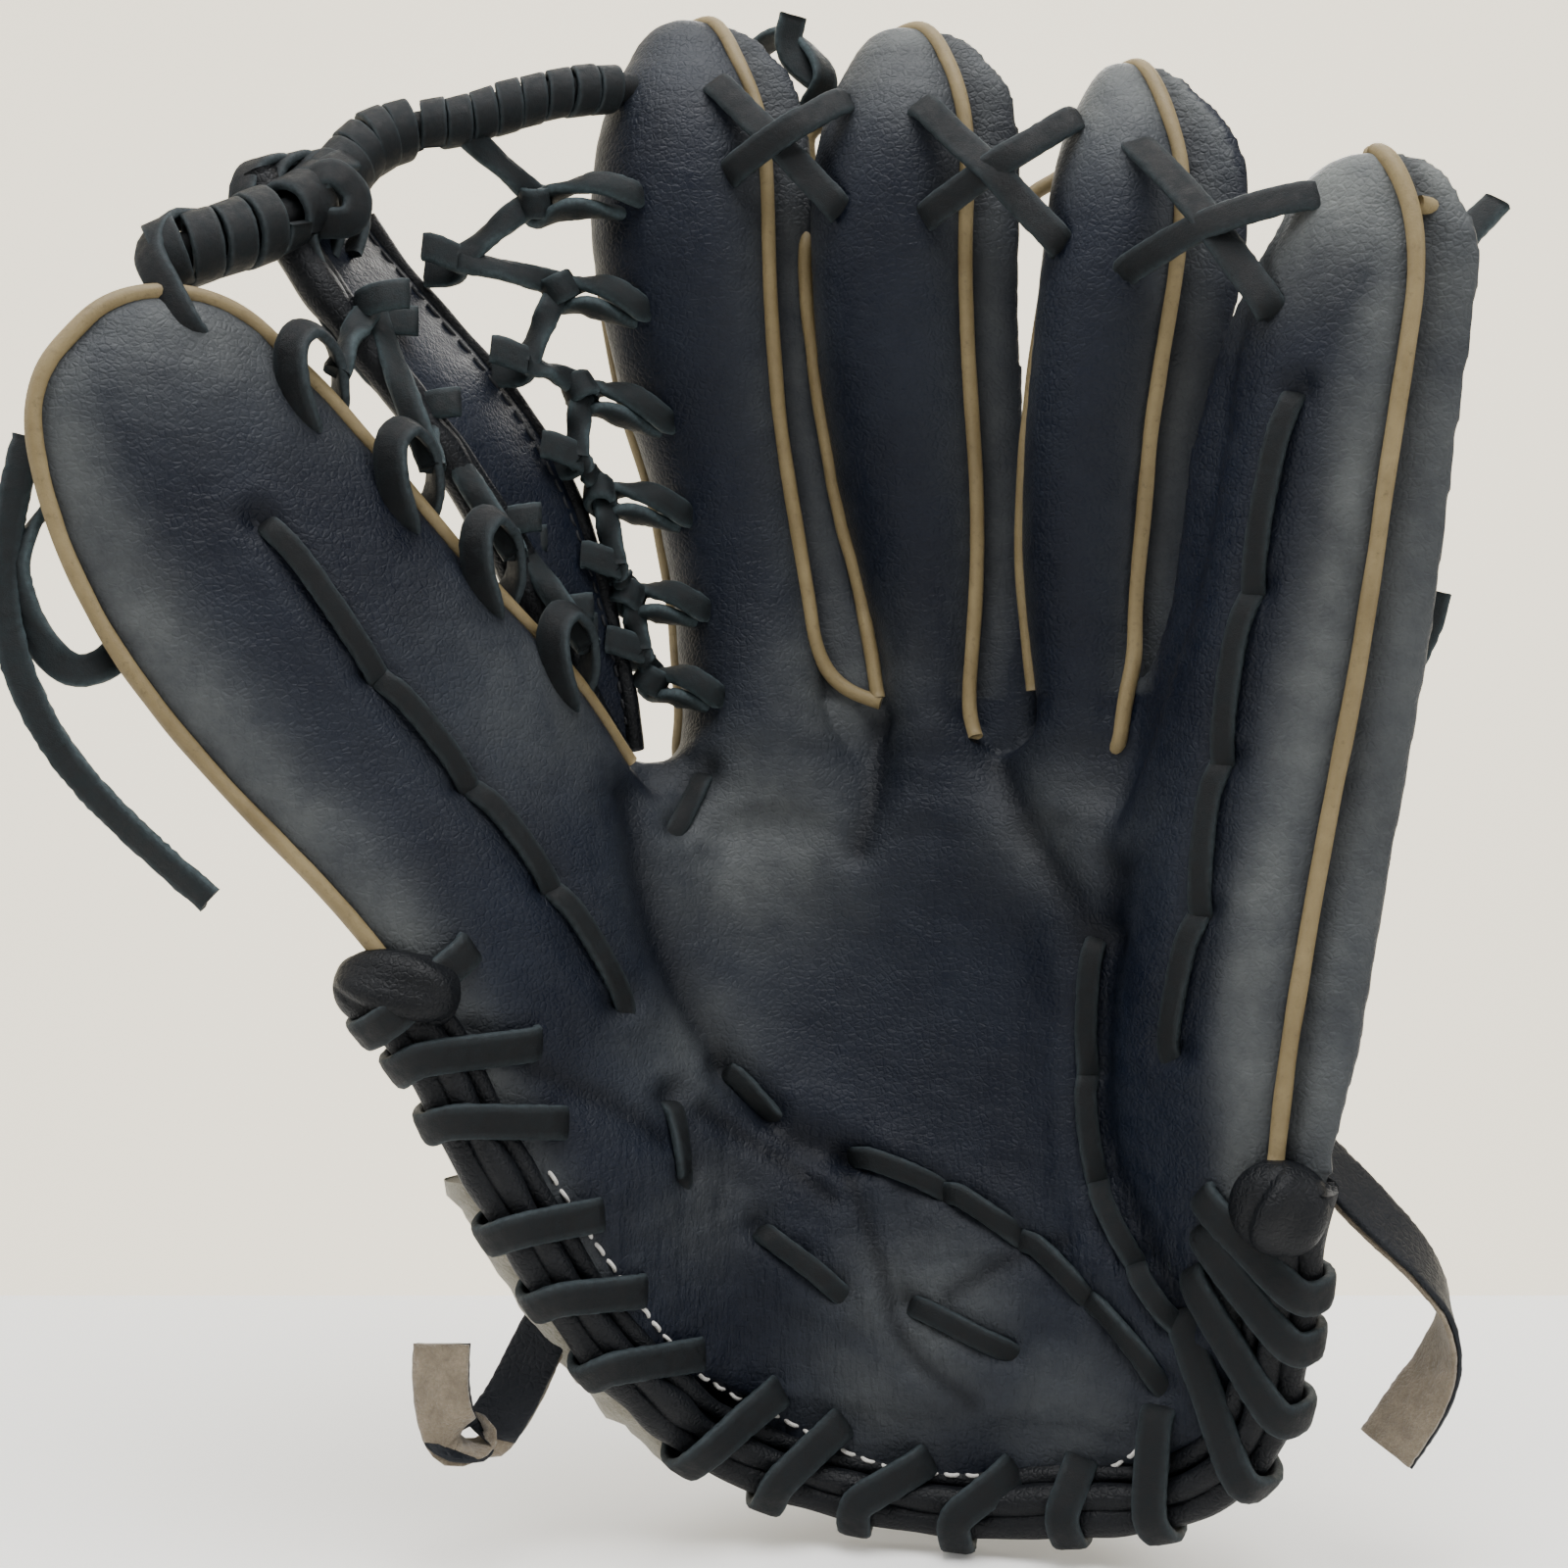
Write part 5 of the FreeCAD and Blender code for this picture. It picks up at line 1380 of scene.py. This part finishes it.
heap = Heap()
for k in range(3):  # rings over the top of the post
    base = np.array([-104 + 4.2 * k, -42 + 3.0 * k, 243 + 1.5 * k])
    strand(heap, (base + [-1, -3, -9], (-0.3, -1, 0)), (base + [-2.5, -4, 0], (-0.5, -1, 0.1)),
           (base + [-1.5, -1, 8.5], (-0.2, -0.6, 1)),
           (base + [3.0, 4, 11.5], (0, 0.2, 1)), (base + [7.5, 8, 7.5], (0.6, 0.5, 1)),
           (base + [9, 8.5, -1], (1, 0.6, 0)), (base + [7, 6, -8], (0.6, 1, -0.3)))
hub = np.array([-91, -36, 247.0])  # the knot where crown and post meet
strand(heap, (hub + [-5, -3, -3], (-0.4, -1, -0.3)), (hub + [-3, -6.5, 2], (-0.3, -1, 0.4)),
       (hub + [2, -7, 4], (0.2, -1, 0.5)),
       (hub + [6, -5, 0], (0.8, -1, 0)), (hub + [5, -5.5, -5], (0.5, -1, -0.6)),
       (hub + [-1, -6.5, -6], (0, -1, -0.5)), (hub + [-5, -2, -5], (-1, -0.4, -0.4)))
strand(heap, (hub + [4, -2, 8], (0.2, -1, 0.6)), (hub + [1, -6, 5], (0, -1, 0.5)),
       (hub + [-3, -7.5, -1], (-0.3, -1, 0)),
       (hub + [-4, -7, -9], (-0.4, -1, -0.1)), (hub + [-2, -5, -17], (0, -1, 0)),
       (hub + [2, -3.5, -25], (0.2, -1, 0.1)), (hub + [8, -1, -33], (0.5, -1, 0.2)),
       (hub + [15, 3, -40], (0.4, -1, 0.2)))
complete(heap, "crown_knot", black_lace, bend_web, "lace_leather")

heap = Heap()
strand(heap, ((-30, 2, 281.0), (0.2, -1, 0.5)), ((-22, 12, 289.0), (0, 0.5, 1)),
       ((-8, 12, 294.0), (0, 0.3, 1)),
       ((0, 6, 296.0), (0.4, -0.2, 1)), ((6, 2, 291.0), (1, -0.6, 0.6)), ((9, 0, 284.0), (0.7, -1, 0)),
       ((5, 4, 277.0), (0, -1, -0.4)))
strand(heap, ((10, 2, 283.0), (0, -1, 0.3)), ((4, 1, 287.0), (0, -1, 0.4)), ((1, 1, 292.0), (0.2, -1, 0)),
       ((2, 0, 298.0), (0.4, -1, 0)))
complete(heap, "index_back_tie", suede_lace, on_hand, "lace_leather")

# ---------------------------------------------------------------- free ends and straps

TAIL_ROUTE = [
    (-0.137, -0.077, 0.193), (-0.141, -0.078, 0.176), (-0.141, -0.079, 0.158), (-0.133, -0.079, 0.138),
    (-0.118, -0.078, 0.121), (-0.104, -0.077, 0.109),
]
tail_curve = bpy.data.curves.new("thumb_lace_tail_run", "CURVE")
tail_curve.dimensions = "3D"
tail_spline = tail_curve.splines.new("NURBS")
tail_spline.points.add(len(TAIL_ROUTE) - 1)
for point, place in zip(tail_spline.points, TAIL_ROUTE):
    point.co = (*place, 1)
tail_spline.order_u = 3
tail_spline.use_endpoint_u = True
tail_run = bpy.data.objects.new("thumb_lace_tail_run", tail_curve)
tail_mesh = bpy.data.meshes.new_from_object(tail_run)
tail_path = np.array([v.co for v in tail_mesh.vertices]) / MM
bpy.data.objects.remove(tail_run)
heap = Heap()
rows = spline(np.vstack([tail_path[:-1:3], tail_path[-1:]]), 1.0)  # every third point, and the end
turns = np.linspace(0, 1, len(rows))
outs = np.stack([0.35 * np.sin(5 * turns), -np.ones(len(rows)), 0.25 * np.cos(4 * turns)], axis=1)
sweep(heap, rows, outs, oblong(5.6, 2.1), rough=0.09)
made = heap.make("thumb_lace_tail_look", suede_lace)
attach(made, "thumb")
dressed(made, "lace_leather", "thumb_lace_tail")

heap = Heap()
strand(heap, ((-134, -72, 182), (-1, -0.5, 0)), ((-137, -76, 176), (-1, -0.8, 0)),
       ((-139, -77, 168), (-0.6, -1, 0)), ((-136, -77, 158), (-0.2, -1, -0.2)),
       ((-130, -76, 151), (0.2, -1, 0.2)), ((-124, -74, 152), (0.5, -1, 0.5)),
       ((-121, -70, 157), (0.5, -0.6, 0.3)))
made = heap.make("thumb_edge_loop", suede_lace)
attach(made, "thumb")

for name, run in (
    ("little_lace_end_upper", ((107, -58, 217), (113, -62, 222), (122, -60, 227), (131, -58, 236),
                               (136, -58, 241))),
    ("little_lace_end_lower", ((107, -55, 140), (111, -58, 146), (118, -56, 151), (123, -55, 160),
                               (125, -55, 167))),
):
    heap = Heap()
    strand(heap, *[(p, (0.3, -1, 0.4 * k)) for k, p in enumerate(run)])
    made = heap.make(name + "_look", suede_lace)
    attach(made, "little_finger")
    dressed(made, "lace_leather", name)


def strap(name, node, body, controls, width, thick):
    """A flat strap: smooth hide outside, tan flesh inside, with cut edges."""
    rows = spline([[*p, *n] for p, n in controls], 1.0)
    path, out = rows[:, :3], unit(rows[:, 3:6])
    tangent = unit(np.gradient(path, axis=0))
    out = unit(out - (out * tangent).sum(1, keepdims=True) * tangent)
    for part, offset, material in (("face", thick * 0.27, strap_leather),
                                   ("flesh", -thick * 0.23, tan_suede)):
        heap = Heap()
        sweep(heap, path + out * offset, out, oblong(width, thick * 0.5, 0.8), rough=0.05)
        made = heap.make(f"{name}_{part}", material)
        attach(made, body)
        if part == "face":
            dressed(made, "strap_leather", node)


strap("little_strap", "little_loop_strap", "little_finger", (
    ((99, -40, 65), (0.5, -0.8, 0.7)), ((104, -47, 58), (0.5, -0.8, 0.6)),
    ((113, -52, 48), (0.5, -0.8, 0.55)), ((122, -55, 38), (0.75, -0.6, 0.4)),
    ((126.5, -56, 29), (1, -0.25, 0.1)), ((125.5, -56, 20), (1, 0.3, -0.2)),
    ((121, -57, 12), (0.8, 0.7, -0.4)), ((115, -57, 3), (0.7, 0.75, -0.5)),
), 12.0, 2.6)
strap("thumb_strap", "thumb_loop_strap", "thumb", (
    ((-42, -38, 30), (-0.4, -1, 0.2)), ((-48, -40, 20), (-0.4, -1, 0.1)), ((-53, -43, 10), (-0.3, -1, 0)),
    ((-57, -45, 4), (-0.3, -1, -0.3)),
    ((-60, -48, 1), (-0.2, -0.5, -1)), ((-63, -52, 2.5), (-0.1, 0.5, -1)), ((-65, -54, 8), (0.1, 1, -0.3)),
    ((-66, -54, 15), (0.1, 1, 0)), ((-66, -53, 22), (0, 1, 0)),
), 11.0, 2.4)

# ---------------------------------------------------------------- wrist: strap, patch and fleece


def height_of(field, x, z):
    i = np.clip((x - xs[0]) / PITCH, 0, len(xs) - 1.001)
    k = np.clip((z - zs[0]) / PITCH, 0, len(zs) - 1.001)
    i0, k0 = int(i), int(k)
    a, b = i - i0, k - k0
    low = field[i0, k0] * (1 - a) + field[i0 + 1, k0] * a
    high = field[i0, k0 + 1] * (1 - a) + field[i0 + 1, k0 + 1] * a
    return low * (1 - b) + high * b


def pad_on_back(heap, left, right, low, high, inner, thick, corner=3.0, crown_up=1.0, columns=90, rows=40,
                lump=0.0):
    """A rounded sheet that follows the back of the hand, between two edges and two heights."""
    us, vs = np.linspace(0, 1, columns), np.linspace(0, 1, rows)
    front_face, back_face = np.zeros((rows, columns, 3)), np.zeros((rows, columns, 3))
    for j, v in enumerate(vs):
        for i, u in enumerate(us):
            z = low + (high - low) * v
            x = left + (right - left) * u
            edge = min(u * (right - left), (1 - u) * (right - left), v * (high - low), (1 - v) * (high - low))
            round_off = math.sqrt(1 - (1 - min(1.0, edge / corner)) ** 2)
            y = height_of(arch_back, x, z) + inner
            bump = lump * noise.noise(Vector((x, y, z)) * 0.35) if lump else 0.0
            half = thick / 2 * (0.25 + 0.75 * round_off) * (1 + (crown_up - 1) * math.sin(math.pi * v))
            middle = y + thick / 2
            back_face[j, i] = (x, middle + half + bump, z)
            front_face[j, i] = (x, middle - half - bump, z)
    loops = np.concatenate([back_face, front_face[:, ::-1]], axis=1)
    heap.add(loops.reshape(-1, 3), np.vstack([ring_faces(rows, 2 * columns), end_caps(rows, 2 * columns)]))


strap_low, strap_high = box("wrist_strap")
fleece_low, fleece_high = box("strap_fleece")
patch_low, patch_high = box("strap_patch")
heap = Heap()
pad_on_back(heap, strap_low[0] + 3, strap_high[0] - 3, strap_low[2] + 0.5, strap_high[2] - 0.5, 0.8, 3.2, 2.0)
complete(heap, "wrist_strap_look", strap_leather, on_hand, "strap_leather", "wrist_strap")
heap = Heap()
pad_on_back(heap, fleece_low[0] + 2, fleece_high[0] - 2, fleece_low[2] - 1, fleece_high[2] + 2, -9.0, 4.5,
            4.0, 1.2, lump=0.9)
made = complete(heap, "strap_fleece_look", fleece_look, on_hand, "cream_fleece", "strap_fleece")
heap = Heap()
pad_on_back(heap, patch_low[0], patch_high[0], patch_low[2], patch_high[2], 4.0, 1.8, 2.5, 1.3, 40, 24)
complete(heap, "strap_patch_look", binding_leather, on_hand, "binding_leather", "strap_patch")
heap = Heap()
for low, high, left, right, off in (
    (strap_low[2] + 3, strap_high[2] - 3, strap_low[0] + 7, strap_high[0] - 7, 4.0),
    (patch_low[2] + 1.8, patch_high[2] - 1.8, patch_low[0] + 1.8, patch_high[0] - 1.8, 6.3),
):
    for z in (low, high):
        for x in np.arange(left, right - 2, 3.6):
            a = np.array([x, height_of(arch_back, x, z) + off, z])
            b = np.array([x + 2.5, height_of(arch_back, x + 2.5, z) + off, z])
            rope(heap, [a - [0, 0.7, 0], a + [0.3, 0.25, 0], b + [-0.3, 0.25, 0], b - [0, 0.7, 0]], 0.75,
                 section=circle(0.75, 8), step=0.5)
complete(heap, "strap_stitches", black_thread, on_hand, "strap_leather")

# a rolled edge round the back window
heap = Heap()
rim = []
for t in np.linspace(0, 2 * math.pi, 41)[:-1]:
    straight = WINDOW[2] - WINDOW[3]
    x = WINDOW[0] + math.copysign(straight, math.cos(t)) * min(1,
                                                               abs(math.cos(t)) * 4) + WINDOW[3] * math.cos(t)
    z = WINDOW[1] + WINDOW[3] * math.sin(t)
    rim.append([x, height_of(arch_back, x, z) - 0.6, z])
rim = spline(rim + rim[:1], 1.5)[:-1]
outs = np.tile([0.02, 1.0, 0.03], (len(rim), 1))
sweep(heap, rim, outs, circle(4.6), 1 + 0.1 * np.sin(np.arange(len(rim)) * 1.3), closed=True)
complete(heap, "window_binding", binding_leather, on_hand, "binding_leather")

# ---------------------------------------------------------------- stage

FLOOR = lowest[2] - 1.0


def stage_sheet(name, corners, colour, glow):
    n = Nodes(name)
    tint = n.mix(n.noise(3, 3), colour, tuple(0.97 * c for c in colour))
    normal = n.bump(n.noise(900, 3), 0.0002, 0.2)
    n.feed(n.shader.inputs["Emission Color"], tint)
    n.shader.inputs["Emission Strength"].default_value = glow
    made = new_object(name, corners, [[0, 1, 2, 3]], n.finish(tint, 0.6, normal), smooth=False)


TABLE_END, WALL = 172, 1700
stage_sheet("table", [(-2500, -2500, FLOOR), (2500, -2500, FLOOR), (2500, TABLE_END, FLOOR),
                      (-2500, TABLE_END, FLOOR)], (0.84, 0.84, 0.83), 0.15)
stage_sheet("wall", [(-4000, WALL, -2500), (4000, WALL, -2500), (4000, WALL, 4000), (-4000, WALL, 4000)],
            (0.97, 0.885, 0.71), 1.9)


def area_light(name, place, target, width, power, colour=(1, 1, 1)):
    data = bpy.data.lights.new(name, "AREA")
    data.shape, data.size, data.energy, data.color = "SQUARE", width, power, colour
    made = bpy.data.objects.new(name, data)
    bpy.context.collection.objects.link(made)
    made.location = place
    made.rotation_euler = (Vector(target) - Vector(place)).to_track_quat("-Z", "Y").to_euler()


area_light("overhead", (0.0, -0.30, 1.0), (0, 0, 0.14), 0.8, 20.0)
area_light("from_right", (0.9, -0.5, 0.6), (0, 0, 0.12), 0.5, 5.0)
area_light("from_left", (-0.95, -0.25, 0.55), (0, 0, 0.15), 0.5, 5.0)
area_light("behind", (0.2, 0.9, 1.0), (0, 0, 0.12), 0.7, 9.0)
world = bpy.data.worlds.new("world")
bpy.context.scene.world = world
world.use_nodes = True
world.node_tree.nodes["Background"].inputs["Color"].default_value = (1.0, 0.985, 0.96, 1)
world.node_tree.nodes["Background"].inputs["Strength"].default_value = 0.16
